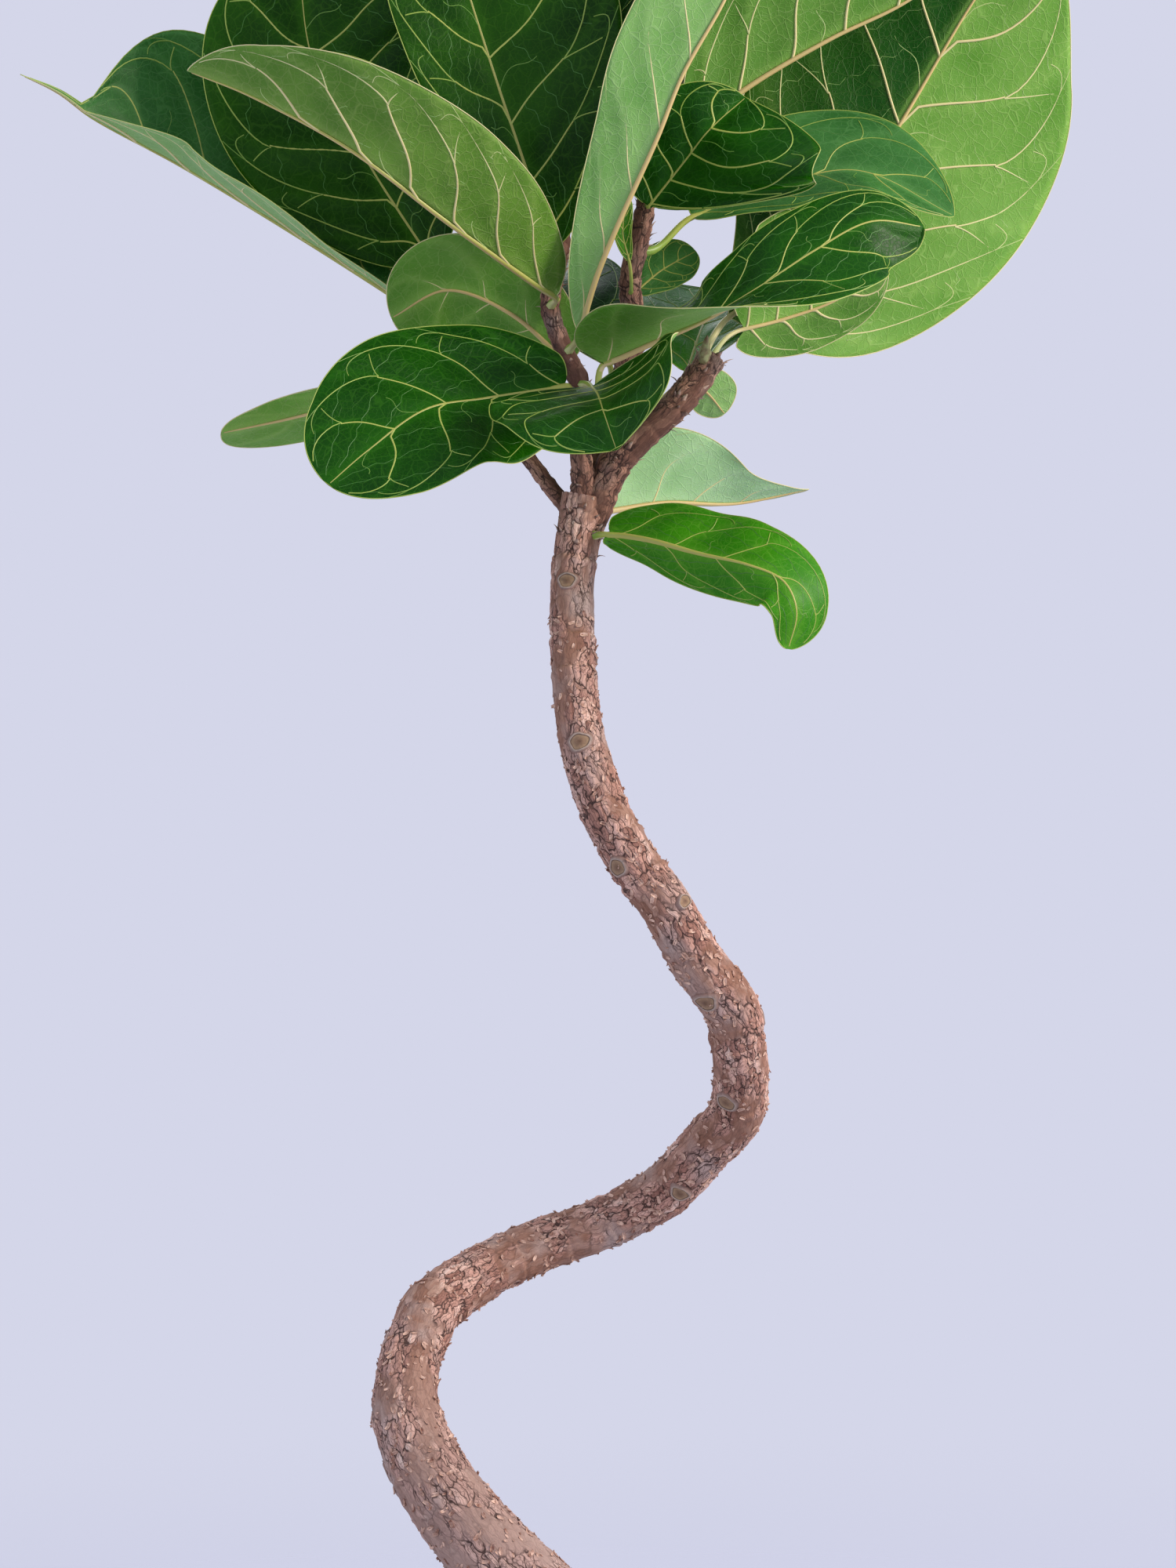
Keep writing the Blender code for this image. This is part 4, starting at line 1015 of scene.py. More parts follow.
def blade_faces():
    """The faces of both sheets and of the edge between them, and which are upper, 0, or lower, 1."""
    tip = 2 * SHEET
    faces = []
    sides = []
    for i in range(ALONG - 1):
        for j in range(ACROSS):
            a = i * WIDE + j
            faces.append((a, a + 1, a + 1 + WIDE, a + WIDE))
            sides.append(0)
            faces.append((a + SHEET, a + WIDE + SHEET, a + 1 + WIDE + SHEET, a + 1 + SHEET))
            sides.append(1)
    row = (ALONG - 1) * WIDE
    for j in range(ACROSS):
        faces += [(row + j, row + j + 1, tip), (row + SHEET + j + 1, row + SHEET + j, tip)]
        faces.append((j + 1, j, j + SHEET, j + 1 + SHEET))
        sides += [0, 1, 1]
    for i in range(ALONG - 1):
        a = i * WIDE
        b = a + WIDE
        faces.append((a, b, b + SHEET, a + SHEET))
        faces.append((b + ACROSS, a + ACROSS, a + ACROSS + SHEET, b + ACROSS + SHEET))
        sides += [0, 0]
    faces.append((row, tip, row + SHEET))
    faces.append((row + ACROSS, row + ACROSS + SHEET, tip))
    sides += [0, 0]
    return faces, sides


BLADE_FACES, BLADE_SIDES = blade_faces()
print("faces in a blade:", len(BLADE_FACES))

# %% [markdown]
# The leaves do not all look the same. Which look each side has is chosen leaf by leaf, and the rest are
# deep green above and pale below. Where one half of a blade lies in the shadow of another leaf, that shade
# is painted into it as a deeper green.

# %% Which leaf looks how
LOOKS = {
    "leaf_left_broad": ("warm", "tan"),
    "leaf_centre_tall": ("warm", "tan"),
    "leaf_low_right": ("bright", "pale"),
    "leaf_left_long": ("cool", "blue"),
    "leaf_right_blue": ("cool", "blue"),
    "leaf_left_upper": ("warm", "pale"),
    "leaf_right_small": ("cool", "blue"),
    "leaf_gap_small": ("cool", "blue"),
    "leaf_low_behind": ("cool", "haze"),
    "leaf_left_folded": ("deep", "tan"),
    "leaf_centre_narrow": ("deep", "blue"),
    "leaf_young": ("bright", "pale"),
    "leaf_back_left": ("warm", "pale"),
    "leaf_top_front": ("warm", "pale"),
    "leaf_back_right_low": ("bright", "pale"),
}
# How much painted shade, a deep green for shadow, the plus and the minus half of a blade show
PAINTED_SHADE_HALVES = {
    "leaf_right_broad": (1.0, 0.08),
    "leaf_right_pale": (0.10, 0.30),
    "leaf_left_light": (0.25, 0.10),
    "leaf_right_folded": (0.30, 0.10),
    "leaf_left_folded": (0.12, 0.12),
}


def blade_colouring(name, leaf, t, v):
    """How much of the halo and of the painted shade green each corner shows, and its place on a flat leaf.
    """
    half = half_width(leaf, t, v)
    rank = vein_rank(leaf, t, v)
    to_vein = np.abs(rank - np.round(rank)) * leaf["veins"][1] * leaf["length"]
    to_rib = np.abs(v) * half
    halo = np.maximum(0.7 * np.exp(-((to_vein / (3.5 * MM)) ** 2)), np.exp(-((to_rib / (5 * MM)) ** 2)))
    halo = np.maximum(halo, 0.8 * smooth_step((np.abs(v) - 0.95) / 0.05)) * 0.7
    # Painted shade for halves in shadow; where it lies, the halo is dimmed too
    plus, minus = PAINTED_SHADE_HALVES.get(name, (0.0, 0.0))
    painted_shade = np.where(v >= 0, plus, minus) * smooth_step(np.abs(v) / 0.06) * (1 - 0.35 * np.abs(v) ** 3)
    flat = np.stack([t * leaf["length"], v * np.maximum(half, PETIOLE), 0 * t + leaf["phase"]], axis=1)
    return halo * (1 - PAINTED_SHADE_HIDES * painted_shade), painted_shade, flat


print("leaves with a look of their own:", len(LOOKS))

# %% [markdown]
# All the lines of a leaf are now gathered: the stalk with its midrib, the laterals and their net, and a
# thin hard rim along the margin, which every blade has. They join the blade's mesh as loose edges, with
# the attributes that the tree reads, and the tree turns the whole into one piece.

# %% Build the leaves
RIM_RADIUS = 0.34 * MM
RIM_STOUTNESS = 0.55


def leaf_lines(leaf, t):
    """Every line of a leaf as points, radius, the way up and stoutness."""
    lines = [stalk_path(leaf)]
    for vein_t, vein_v, radius, rise, stout in vein_lines(leaf):
        centre, up = blade(leaf, vein_t, vein_v)
        lines.append((centre - up * (radius - HALF_BLADE - rise)[:, None], radius, up, stout))
    edge_t = np.concatenate([t[2:], [0.999]])
    rim_t = np.concatenate([edge_t, edge_t[::-1]])
    rim_v = np.concatenate([-np.ones(len(edge_t)), np.ones(len(edge_t))])
    rim, up = blade(leaf, rim_t, rim_v)
    lines.append((rim, np.full(len(rim), RIM_RADIUS), up, np.full(len(rim), RIM_STOUTNESS)))
    return lines


def build_leaf(name, leaf):
    """One leaf with its stalk and veins, as a finished piece."""
    stations = (1 - np.cos(np.pi * np.linspace(0, 1, ALONG + 1)[:-1])) / 2
    stations[0] = 0.0
    t, v = (grid.ravel() for grid in np.meshgrid(stations, np.linspace(-1, 1, WIDE), indexing="ij"))
    thin = HALF_BLADE * (1 - 0.5 * np.abs(v) ** 6)
    top, _ = blade(leaf, t, v, thin)
    low, _ = blade(leaf, t, v, -thin)
    end, _ = blade(leaf, np.array([1.0]), np.array([0.0]))
    count = 2 * SHEET + 1
    points = [np.concatenate([top, low, end])]
    radius = [np.zeros(count)]
    up = [np.zeros((count, 3))]
    stout = [np.zeros(count)]
    edges = []
    for line, line_radius, line_up, line_stout in leaf_lines(leaf, stations):
        points.append(line)
        radius.append(line_radius)
        up.append(line_up)
        stout.append(line_stout)
        edges += [(count + k, count + k + 1) for k in range(len(line) - 1)]
        count += len(line)
    halo, painted_shade, flat = blade_colouring(name, leaf, t, v)
    spare = np.zeros(count - 2 * SHEET)
    attributes = [
        ("radius", "FLOAT", np.concatenate(radius)),
        ("up", "FLOAT_VECTOR", np.concatenate(up)),
        ("stoutness", "FLOAT", np.concatenate(stout)),
        ("is_vein", "BOOLEAN", np.arange(count) > 2 * SHEET),
        ("halo", "FLOAT", np.concatenate([halo, halo, spare])),
        # Painted shade, stored per corner for the blade materials
        ("painted_shade", "FLOAT", np.concatenate([painted_shade, painted_shade, spare])),
        ("sheet", "FLOAT_VECTOR", np.concatenate([flat, flat, np.zeros((len(spare), 3))])),
    ]
    upper_look, under_look = LOOKS.get(name, ("deep", "pale"))
    materials = (UPPER[upper_look], UNDER[under_look])
    obj = mesh_from(
        name + "_blade", np.concatenate(points), edges, BLADE_FACES, attributes, materials, BLADE_SIDES)
    grow(obj, sweep_tree, Sides=6, Upper=VEIN_UPPER, Under=VEIN_UNDER)
    finish_piece(obj, name)
    return obj


leaf_faces = 0
for name, leaf in LEAVES.items():
    leaf_faces += len(build_leaf(name, leaf).data.polygons)
print("leaf faces:", leaf_faces)

# %% [markdown]
# ## Bark
#
# Old fiddle leaf bark is a thin cork that splits lengthwise into small plates, pinkish brown where it is
# fresh and greyer near the ground, with dark cracks and a few pale flakes that are about to fall. Relief
# and colour could each have a pattern, but here both come from the same Voronoi cells, so that each crack
# is dark. The cells lie on the stem as if it were unrolled straight: the tree below stores that place, in
# metres, as an attribute called bark.

# %% Plates and smooth patches
PLATE = 4.6 * MM  # width of a plate of bark
PLATE_STRETCH = 0.30  # its width as a share of its length
WARP = 0.30  # how much the cells wander


def bark_cells(tree, spot, kind, size=PLATE):
    """The plates of the bark: the place on the stem, wandering a little, cut into long cells."""
    wander = add_node(tree, "ShaderNodeTexNoise", {"Vector": spot, "Scale": 1 / (9 * MM), "Detail": 2.0})
    moved = add_node(tree, "ShaderNodeVectorMath", {
        0: wander.outputs["Color"], 1: (WARP * PLATE * 6,) * 3, 2: spot}, operation="MULTIPLY_ADD")
    cells = add_node(tree, "ShaderNodeVectorMath", {
        0: moved.outputs[0], 1: (1.0, 1.0, PLATE_STRETCH)}, operation="MULTIPLY")
    return add_node(tree, "ShaderNodeTexVoronoi", {
        "Vector": cells.outputs[0], "Scale": 1 / size}, feature=kind)


def flaky_share(tree, spot):
    """From 0 where the bark is still a smooth brown skin to 1 where it has split into plates."""
    patches = add_node(tree, "ShaderNodeVectorMath", {0: spot, 1: (1.0, 1.0, 0.6)}, operation="MULTIPLY")
    noise = add_node(tree, "ShaderNodeTexNoise", {
        "Vector": patches.outputs[0], "Scale": 1 / (26 * MM), "Detail": 3.0})
    share = add_node(tree, "ShaderNodeMapRange", {
        "Value": noise.outputs["Fac"], "From Min": 0.43, "From Max": 0.52
    }, interpolation_type="SMOOTHSTEP")
    return share.outputs[0]


print("bark plates", round(PLATE / MM, 1), "x", round(PLATE / PLATE_STRETCH / MM, 1), "mm")

# %% [markdown]
# Cork is dry and matt, and every plate has weathered to its own brown. The material mixes the plates'
# browns, a smooth brown skin where the bark has not split yet, grey where it is old, and the dark cracks,
# in that order, with fine fibres over all. Young bark is the same in browner tones, made darker still by
# painted shade, and never old enough to be grey low down.

# %% Bark materials
def bark_material(name, plates, crack, skin_brown, grey, grey_below):
    """Cork that grew and split: matt, its browns changing from plate to plate, its cracks deep and dark."""
    material, tree, shader = new_material(name, 0.82, Specular_IOR_Level=0.25)
    spot = add_node(tree, "ShaderNodeAttribute", attribute_name="bark").outputs["Vector"]
    flaky = flaky_share(tree, spot)
    edge = bark_cells(tree, spot, "DISTANCE_TO_EDGE").outputs["Distance"]
    fine_edge = bark_cells(tree, spot, "DISTANCE_TO_EDGE", 0.42 * PLATE).outputs["Distance"]
    own = add_node(tree, "ShaderNodeSeparateColor", {0: bark_cells(tree, spot, "F1").outputs["Color"]})
    long_spot = add_node(tree, "ShaderNodeVectorMath", {
        0: spot, 1: (1.0, 1.0, 0.16)}, operation="MULTIPLY")
    fibre = add_node(tree, "ShaderNodeTexNoise", {
        "Vector": long_spot.outputs[0], "Scale": 1 / (1.6 * MM), "Detail": 5.0, "Roughness": 0.65})
    mixed = add_node(tree, "ShaderNodeMath", {
        0: fibre.outputs["Fac"], 1: 0.9, 2: own.outputs[0]}, operation="MULTIPLY_ADD")
    spread = add_node(tree, "ShaderNodeMapRange", {
        "Value": mixed.outputs[0], "From Min": 0.25, "From Max": 1.75})
    browns = add_node(tree, "ShaderNodeValToRGB", {"Fac": spread.outputs[0]})
    set_stops(browns, plates)
    patch = add_node(tree, "ShaderNodeTexNoise", {"Vector": spot, "Scale": 1 / (38 * MM), "Detail": 3.0})
    weather = add_node(tree, "ShaderNodeMapRange", {
        "Value": patch.outputs["Fac"], "From Min": 0.52, "From Max": 0.70, "To Max": 0.75})
    far_up = add_node(tree, "ShaderNodeSeparateXYZ", {0: spot}).outputs["Z"]
    old = add_node(tree, "ShaderNodeMapRange", {
        "Value": far_up, "From Min": 0.5 * grey_below, "From Max": grey_below, "To Min": 0.6,
        "To Max": 0.0})
    weathered = add_node(tree, "ShaderNodeMath", {
        0: weather.outputs[0], 1: old.outputs[0]}, operation="MAXIMUM")
    smooth_tone = add_node(tree, "ShaderNodeMix", {
        "Factor": fibre.outputs["Fac"], 6: colour(crack), 7: colour(skin_brown)}, data_type="RGBA")
    patchy = add_node(tree, "ShaderNodeMapRange", {"Value": flaky, "To Min": 0.72, "To Max": 0.0})
    mottled = add_node(tree, "ShaderNodeMix", {
        "Factor": patchy.outputs[0], 6: browns.outputs["Color"], 7: smooth_tone.outputs[2]
    }, data_type="RGBA")
    aged = add_node(tree, "ShaderNodeMix", {
        "Factor": weathered.outputs[0], 6: mottled.outputs[2], 7: colour(grey)}, data_type="RGBA")
    dark = add_node(tree, "ShaderNodeMapRange", {
        "Value": edge, "From Min": 0.01, "From Max": 0.10, "To Min": 0.95, "To Max": 0.0
    }, interpolation_type="SMOOTHSTEP")
    fine_dark = add_node(tree, "ShaderNodeMapRange", {
        "Value": fine_edge, "From Min": 0.0, "From Max": 0.12, "To Min": 0.6, "To Max": 0.0
    }, interpolation_type="SMOOTHSTEP")
    lines = add_node(tree, "ShaderNodeMath", {
        0: dark.outputs[0], 1: fine_dark.outputs[0]}, operation="MAXIMUM")
    where = add_node(tree, "ShaderNodeMapRange", {"Value": flaky, "To Min": 0.25, "To Max": 1.0})
    cracked = add_node(tree, "ShaderNodeMath", {
        0: lines.outputs[0], 1: where.outputs[0]}, operation="MULTIPLY")
    skin = add_node(tree, "ShaderNodeMix", {
        "Factor": cracked.outputs[0], 6: aged.outputs[2], 7: colour(crack)}, data_type="RGBA")
    tree.links.new(skin.outputs[2], shader.inputs["Base Color"])
    relief = add_node(tree, "ShaderNodeBump", {
        "Height": fibre.outputs["Fac"], "Strength": 0.9, "Distance": 0.6 * MM})
    tree.links.new(relief.outputs["Normal"], shader.inputs["Normal"])
    return material


OLD_BROWNS = [(0.0, "#84594c"), (0.25, "#a87c6c"), (0.5, "#c49786"), (0.75, "#dab19f"), (0.92, "#f0d8c8")]
# Young bark's browns: browner than old bark, and darker as painted shade from the crown
YOUNG_BROWNS_WITH_PAINTED_SHADE = [(0.0, "#54382f"), (0.3, "#7a5648"), (0.6, "#9a7260"), (0.85, "#b48b75"), (1.0, "#d8b9a2")]
BARK = bark_material("bark_corky", OLD_BROWNS, "#3a2924", "#ac7c60", "#b8a49b", 0.42)
BARK_YOUNG_WITH_PAINTED_SHADE = bark_material("bark_young_painted_shade", YOUNG_BROWNS_WITH_PAINTED_SHADE, "#2f211d", "#7d5645", "#8d8077", 0.001)
print("bark materials:", BARK.name, BARK_YOUNG_WITH_PAINTED_SHADE.name)

# %% [markdown]
# A stem is a tube along a path whose radius changes, and its bark stands up in plates. Displacement in
# the material could raise them, but the exported model would lose it, so a tree sweeps the tube and moves
# its real vertices. The first half of the tree makes the tube. It measures each point's way along the
# stem and where on the round it is, which together give the place on the unrolled bark.

# %% Node tree: the tube of a stem
bark_tree, given = new_tree("bark along a stem", {
    "Sides": "NodeSocketInt", "Relief": "NodeSocketFloat", "Bark": "NodeSocketMaterial"})
stems = add_node(bark_tree, "GeometryNodeMeshToCurve", {"Mesh": given.outputs["Geometry"]})
distance = add_node(bark_tree, "GeometryNodeSplineParameter").outputs["Length"]
measured = add_node(bark_tree, "GeometryNodeStoreNamedAttribute", {
    "Geometry": stems.outputs[0], "Name": "along", "Value": distance
}, data_type="FLOAT", domain="POINT")
ring = add_node(bark_tree, "GeometryNodeCurvePrimitiveCircle", {
    "Resolution": given.outputs["Sides"], "Radius": 1.0})
here = add_node(bark_tree, "GeometryNodeInputPosition").outputs[0]
rounded = add_node(bark_tree, "GeometryNodeStoreNamedAttribute", {
    "Geometry": ring.outputs[0], "Name": "around", "Value": here
}, data_type="FLOAT_VECTOR", domain="POINT")
tubes = add_node(bark_tree, "GeometryNodeCurveToMesh", {
    "Curve": measured.outputs[0], "Profile Curve": rounded.outputs[0],
    "Scale": named(bark_tree, "stem_radius"), "Fill Caps": True})
out_from_axis = add_node(bark_tree, "ShaderNodeVectorMath", {
    0: named(bark_tree, "around", "FLOAT_VECTOR"), "Scale": named(bark_tree, "stem_radius")
}, operation="SCALE")
up_the_stem = add_node(bark_tree, "ShaderNodeCombineXYZ", {"Z": named(bark_tree, "along")})
unrolled = add_node(bark_tree, "ShaderNodeVectorMath", {
    0: out_from_axis.outputs[0], 1: up_the_stem.outputs[0]}, operation="ADD")
marked = add_node(bark_tree, "GeometryNodeStoreNamedAttribute", {
    "Geometry": tubes.outputs[0], "Name": "bark", "Value": unrolled.outputs[0]
}, data_type="FLOAT_VECTOR", domain="POINT")
print("tube of a stem:", len(bark_tree.nodes), "nodes")

# %% [markdown]
# The second half moves each vertex along its normal: out on a plate, in at a crack, with softer lumps
# between. On a thin branch everything is shallower, and on the smooth patches the plates hardly show.

# %% Node tree: the relief of the bark
spot = named(bark_tree, "bark", "FLOAT_VECTOR")
edge = bark_cells(bark_tree, spot, "DISTANCE_TO_EDGE").outputs["Distance"]
plate = add_node(bark_tree, "ShaderNodeMapRange", {
    "Value": edge, "From Min": 0.0, "From Max": 0.22, "To Min": -1.0, "To Max": 0.35
}, interpolation_type="SMOOTHSTEP")
lumps = add_node(bark_tree, "ShaderNodeTexNoise", {"Vector": spot, "Scale": 1 / (17 * MM), "Detail": 2.0})
lump = add_node(bark_tree, "ShaderNodeMapRange", {
    "Value": lumps.outputs["Fac"], "To Min": -1.6, "To Max": 1.6})
split = add_node(bark_tree, "ShaderNodeMapRange", {"Value": flaky_share(bark_tree, spot), "To Min": 0.25})
split_plate = add_node(bark_tree, "ShaderNodeMath", {
    0: plate.outputs[0], 1: split.outputs[0]}, operation="MULTIPLY")
height = add_node(bark_tree, "ShaderNodeMath", {
    0: split_plate.outputs[0], 1: lump.outputs[0]}, operation="ADD")
thick = add_node(bark_tree, "ShaderNodeMapRange", {
    "Value": named(bark_tree, "stem_radius"), "From Max": 16 * MM, "To Min": 0.15, "To Max": 1.0})
depth = add_node(bark_tree, "ShaderNodeMath", {
    0: thick.outputs[0], 1: given.outputs["Relief"]}, operation="MULTIPLY")
push = add_node(bark_tree, "ShaderNodeMath", {
    0: height.outputs[0], 1: depth.outputs[0]}, operation="MULTIPLY")
outward = add_node(bark_tree, "GeometryNodeInputNormal")
offset = add_node(bark_tree, "ShaderNodeVectorMath", {
    0: outward.outputs[0], "Scale": push.outputs[0]}, operation="SCALE")
rough = add_node(bark_tree, "GeometryNodeSetPosition", {
    "Geometry": marked.outputs[0], "Offset": offset.outputs[0]})
real = add_node(bark_tree, "GeometryNodeRealizeInstances", {"Geometry": rough.outputs[0]})
clad = add_node(bark_tree, "GeometryNodeSetMaterial", {
    "Geometry": real.outputs[0], "Material": given.outputs["Bark"]})
round_off = add_node(bark_tree, "GeometryNodeSetShadeSmooth", {"Geometry": clad.outputs[0]})
add_node(bark_tree, "NodeGroupOutput", {0: round_off.outputs[0]})
print("bark tree:", len(bark_tree.nodes), "nodes")

# %% [markdown]
# Old nodes ring the stem: a low collar with a groove above it. One deep crack runs round the trunk in its
# lowest bend. They could be cut in after the sweep, but both go right round, so they are changes of
# radius along the path.

# %% Build the trunk and the branches
def stem_path(name, step, collars):
    """Points and radii along a stem, with its collars; the spacing of the collars is drawn at random."""
    rough_line = curve(BRANCHES[name], np.linspace(0, 1, 400))
    length = np.linalg.norm(np.diff(rough_line[:, :3], axis=0), axis=1).sum()
    line = curve(BRANCHES[name], np.linspace(0, 1, int(length / step)))
    way = np.concatenate([[0], np.cumsum(np.linalg.norm(np.diff(line[:, :3], axis=0), axis=1))])
    radius = line[:, 3].copy()
    at = 0.0
    while at < way[-1]:
        at += RANDOM.uniform(*collars)
        size = RANDOM.uniform(0.5, 1.1) * MM * min(radius.mean() / 0.012, 1)
        radius += size * np.exp(-((way - at) / (2.6 * MM)) ** 2)
        radius -= 0.8 * size * np.exp(-((way - at - 3.4 * MM) / (1.3 * MM)) ** 2)
    return line[:, :3] + [0, 0, SOIL_TOP], radius


CRACK_HEIGHT = 0.2985
CRACK_DEPTH = 2.4 * MM
CRACK_WIDTH = 0.9 * MM
points, radius = stem_path("trunk", 1.35 * MM, (0.022, 0.060))
from_crack = points[:, 2] - SOIL_TOP - CRACK_HEIGHT
radius -= CRACK_DEPTH * np.exp(-((from_crack / CRACK_WIDTH) ** 2))
trunk = mesh_from("trunk_bark", points, [(k, k + 1) for k in range(len(points) - 1)], [],
                  [("stem_radius", "FLOAT", radius)])
grow(trunk, bark_tree, Sides=84, Relief=0.85 * MM, Bark=BARK)
finish_piece(trunk, "trunk")
verts = []
radii = []
edges = []
for name in ("right", "centre", "back", "left"):
    points, radius = stem_path(name, 1.2 * MM, (0.007, 0.020))
    first = sum(len(v) for v in verts)
    edges += [(first + k, first + k + 1) for k in range(len(points) - 1)]
    verts.append(points)
    radii.append(radius)
radii = [("stem_radius", "FLOAT", np.concatenate(radii))]
branches = mesh_from("branch_bark", np.concatenate(verts), edges, [], radii)
grow(branches, bark_tree, Sides=44, Relief=0.9 * MM, Bark=BARK_YOUNG_WITH_PAINTED_SHADE)
finish_piece(branches, "trunk")
print("trunk faces:", len(trunk.data.polygons), "branch faces:", len(branches.data.polygons))

# %% [markdown]
# ## Leaf scars and cut twigs
#
# Where a leaf fell, the bark keeps an oval, slightly sunken scar with a raised rim. Where a twig was cut,
# a short stub stands out, paler, with a ring of bark round it. A colour patch would look flat where the
# trunk turns away, so both are one shape, a round cap laid on the trunk's surface.

# %% Healed cork
def scar_material():
    """Healed cork: smoother than bark, so it catches some light, with a grey brown rim round a tan face."""
    material, tree, shader = new_material("bark_scar", 0.7, Specular_IOR_Level=0.3)
    out = add_node(tree, "ShaderNodeAttribute", attribute_name="out").outputs["Fac"]
    ramp = add_node(tree, "ShaderNodeValToRGB", {"Fac": out})
    face = [(0.0, "#6f5340"), (0.35, "#8d7058"), (0.62, "#a08467")]
    rim = [(0.70, "#5a4238"), (0.76, "#b7a596"), (0.88, "#9b8378"), (1.0, "#8d6e62")]
    set_stops(ramp, face + rim)
    place = add_node(tree, "ShaderNodeTexCoord").outputs["Object"]
    grain = add_node(tree, "ShaderNodeTexNoise", {"Vector": place, "Scale": 1 / (2 * MM), "Detail": 4.0})
    tone = add_node(tree, "ShaderNodeMapRange", {
        "Value": grain.outputs["Fac"], "To Min": 0.55, "To Max": 1.25})
    skin = add_node(tree, "ShaderNodeVectorMath", {
        0: ramp.outputs["Color"], "Scale": tone.outputs[0]}, operation="SCALE")
    tree.links.new(skin.outputs[0], shader.inputs["Base Color"])
    relief = add_node(tree, "ShaderNodeBump", {
        "Height": grain.outputs["Fac"], "Strength": 0.6, "Distance": 0.4 * MM})
    tree.links.new(relief.outputs["Normal"], shader.inputs["Normal"])
    return material


SCAR = scar_material()
print("scar material:", SCAR.name)

# %% [markdown]
# The scars lie where the leaves of earlier years stood, on all sides of the trunk. Each is a stack of
# rings, lifted off the trunk's curve by a profile that dips in the face and rises in the rim.

# %% Scars
SCAR_SIDES = 32
SCAR_STEP = 0.55 * MM
# Each ring's distance from the middle, as a share of the scar, and how many steps it stands out there
SCAR_RINGS = [0.0, 0.2, 0.4, 0.58, 0.68, 0.74, 0.80, 0.87, 0.94, 1.0, 1.12]
SCAR_LIFT = [0.9, 0.8, 0.7, 0.7, 0.9, 1.6, 1.9, 1.7, 1.1, 0.3, -2.5]
# Height on the trunk, the way it faces, half width and height in mm, and steps its face stands out
SCARS = [
    (0.758, (-0.25, -1.0), 7.0, 6.0, 0.4),
    (0.655, (-0.1, -1.0), 8.5, 6.8, 0.4),
    (0.585, (-0.75, -0.7), 7.5, 7.0, 0.4),
    (0.556, (0.75, -0.66), 6.5, 4.8, 2.2),
    (0.508, (-0.6, -0.8), 9.0, 8.0, 0.6),
    (0.4385, (-0.45, -0.9), 8.5, 7.2, 0.8),
    (0.376, (0.3, -0.95), 8.0, 6.0, 2.4),
    (0.712, (0.9, 0.5), 6.5, 6.0, 0.4),
    (0.624, (0.3, 1.0), 7.0, 6.0, 0.4),
    (0.480, (0.9, 0.4), 7.5, 6.5, 0.5),
    (0.215, (-0.9, 0.4), 9.0, 8.0, 0.4),
    (0.120, (0.6, -0.8), 9.5, 8.5, 0.4),
]


def scar_cap(height, facing, wide, tall, proud):
    """One oval cap: vertices, faces and how far out from its middle each vertex is."""
    here, ahead, radius = on_branch("trunk", height)
    out = np.array([*facing, 0.0])
    out = unit(out - ahead * np.dot(out, ahead))
    across = np.cross(ahead, out)
    rings = np.array(SCAR_RINGS)
    lift = np.where(rings < 0.9, np.array(SCAR_LIFT) + proud, SCAR_LIFT)
    verts = []
    outs = []
    for r, z in zip(rings, lift):
        for k in range(SCAR_SIDES):
            a = 2 * math.pi * k / SCAR_SIDES
            wobble = 1 + 0.06 * math.sin(3 * a + height * 50) + 0.04 * math.sin(5 * a)
            x = r * wide * MM * math.cos(a) * wobble
            y = r * tall * MM * math.sin(a) * wobble
            back = radius - math.sqrt(max(radius * radius - x * x, 0))
            verts.append(here + out * (radius - back + z * SCAR_STEP) + across * x + ahead * y)
            outs.append(min(r, 1.0))
    faces = []
    for k in range(1, len(rings) - 1):
        first = k * SCAR_SIDES
        for j in range(SCAR_SIDES):
            a = first + j
            b = first + (j + 1) % SCAR_SIDES
            faces.append((a, a + SCAR_SIDES, b + SCAR_SIDES, b))
    faces += [(0, SCAR_SIDES + j, SCAR_SIDES + (j + 1) % SCAR_SIDES) for j in range(SCAR_SIDES)]
    last = (len(rings) - 1) * SCAR_SIDES
    faces.append(tuple(last + j for j in reversed(range(SCAR_SIDES))))
    return verts, faces, outs


verts = []
faces = []
outs = []
for row in SCARS:
    more, sides, far = scar_cap(*row)
    keep = [0, *range(SCAR_SIDES, len(more))]
    place = {old: len(verts) + new for new, old in enumerate(keep)}
    verts += [more[k] for k in keep]
    outs += [far[k] for k in keep]
    faces += [tuple(place[k] for k in face) for face in sides]
scars = mesh_from("leaf_scars", verts, [], faces, [("out", "FLOAT", np.array(outs))], (SCAR,))
finish_piece(scars, "trunk")
print("scars:", len(SCARS))

# %% [markdown]
# ## Papery scales
#
# Each leaf opened from a sheath of two papery scales. On a fiddle leaf fig they dry brown and stay round
# the stem for years, as dark spiky frills at every node. A tree could scatter them, but they stand where
# leaves stand or stood, so a loop places them. A scale is a narrow cupped blade with a drawn lean and
# length.

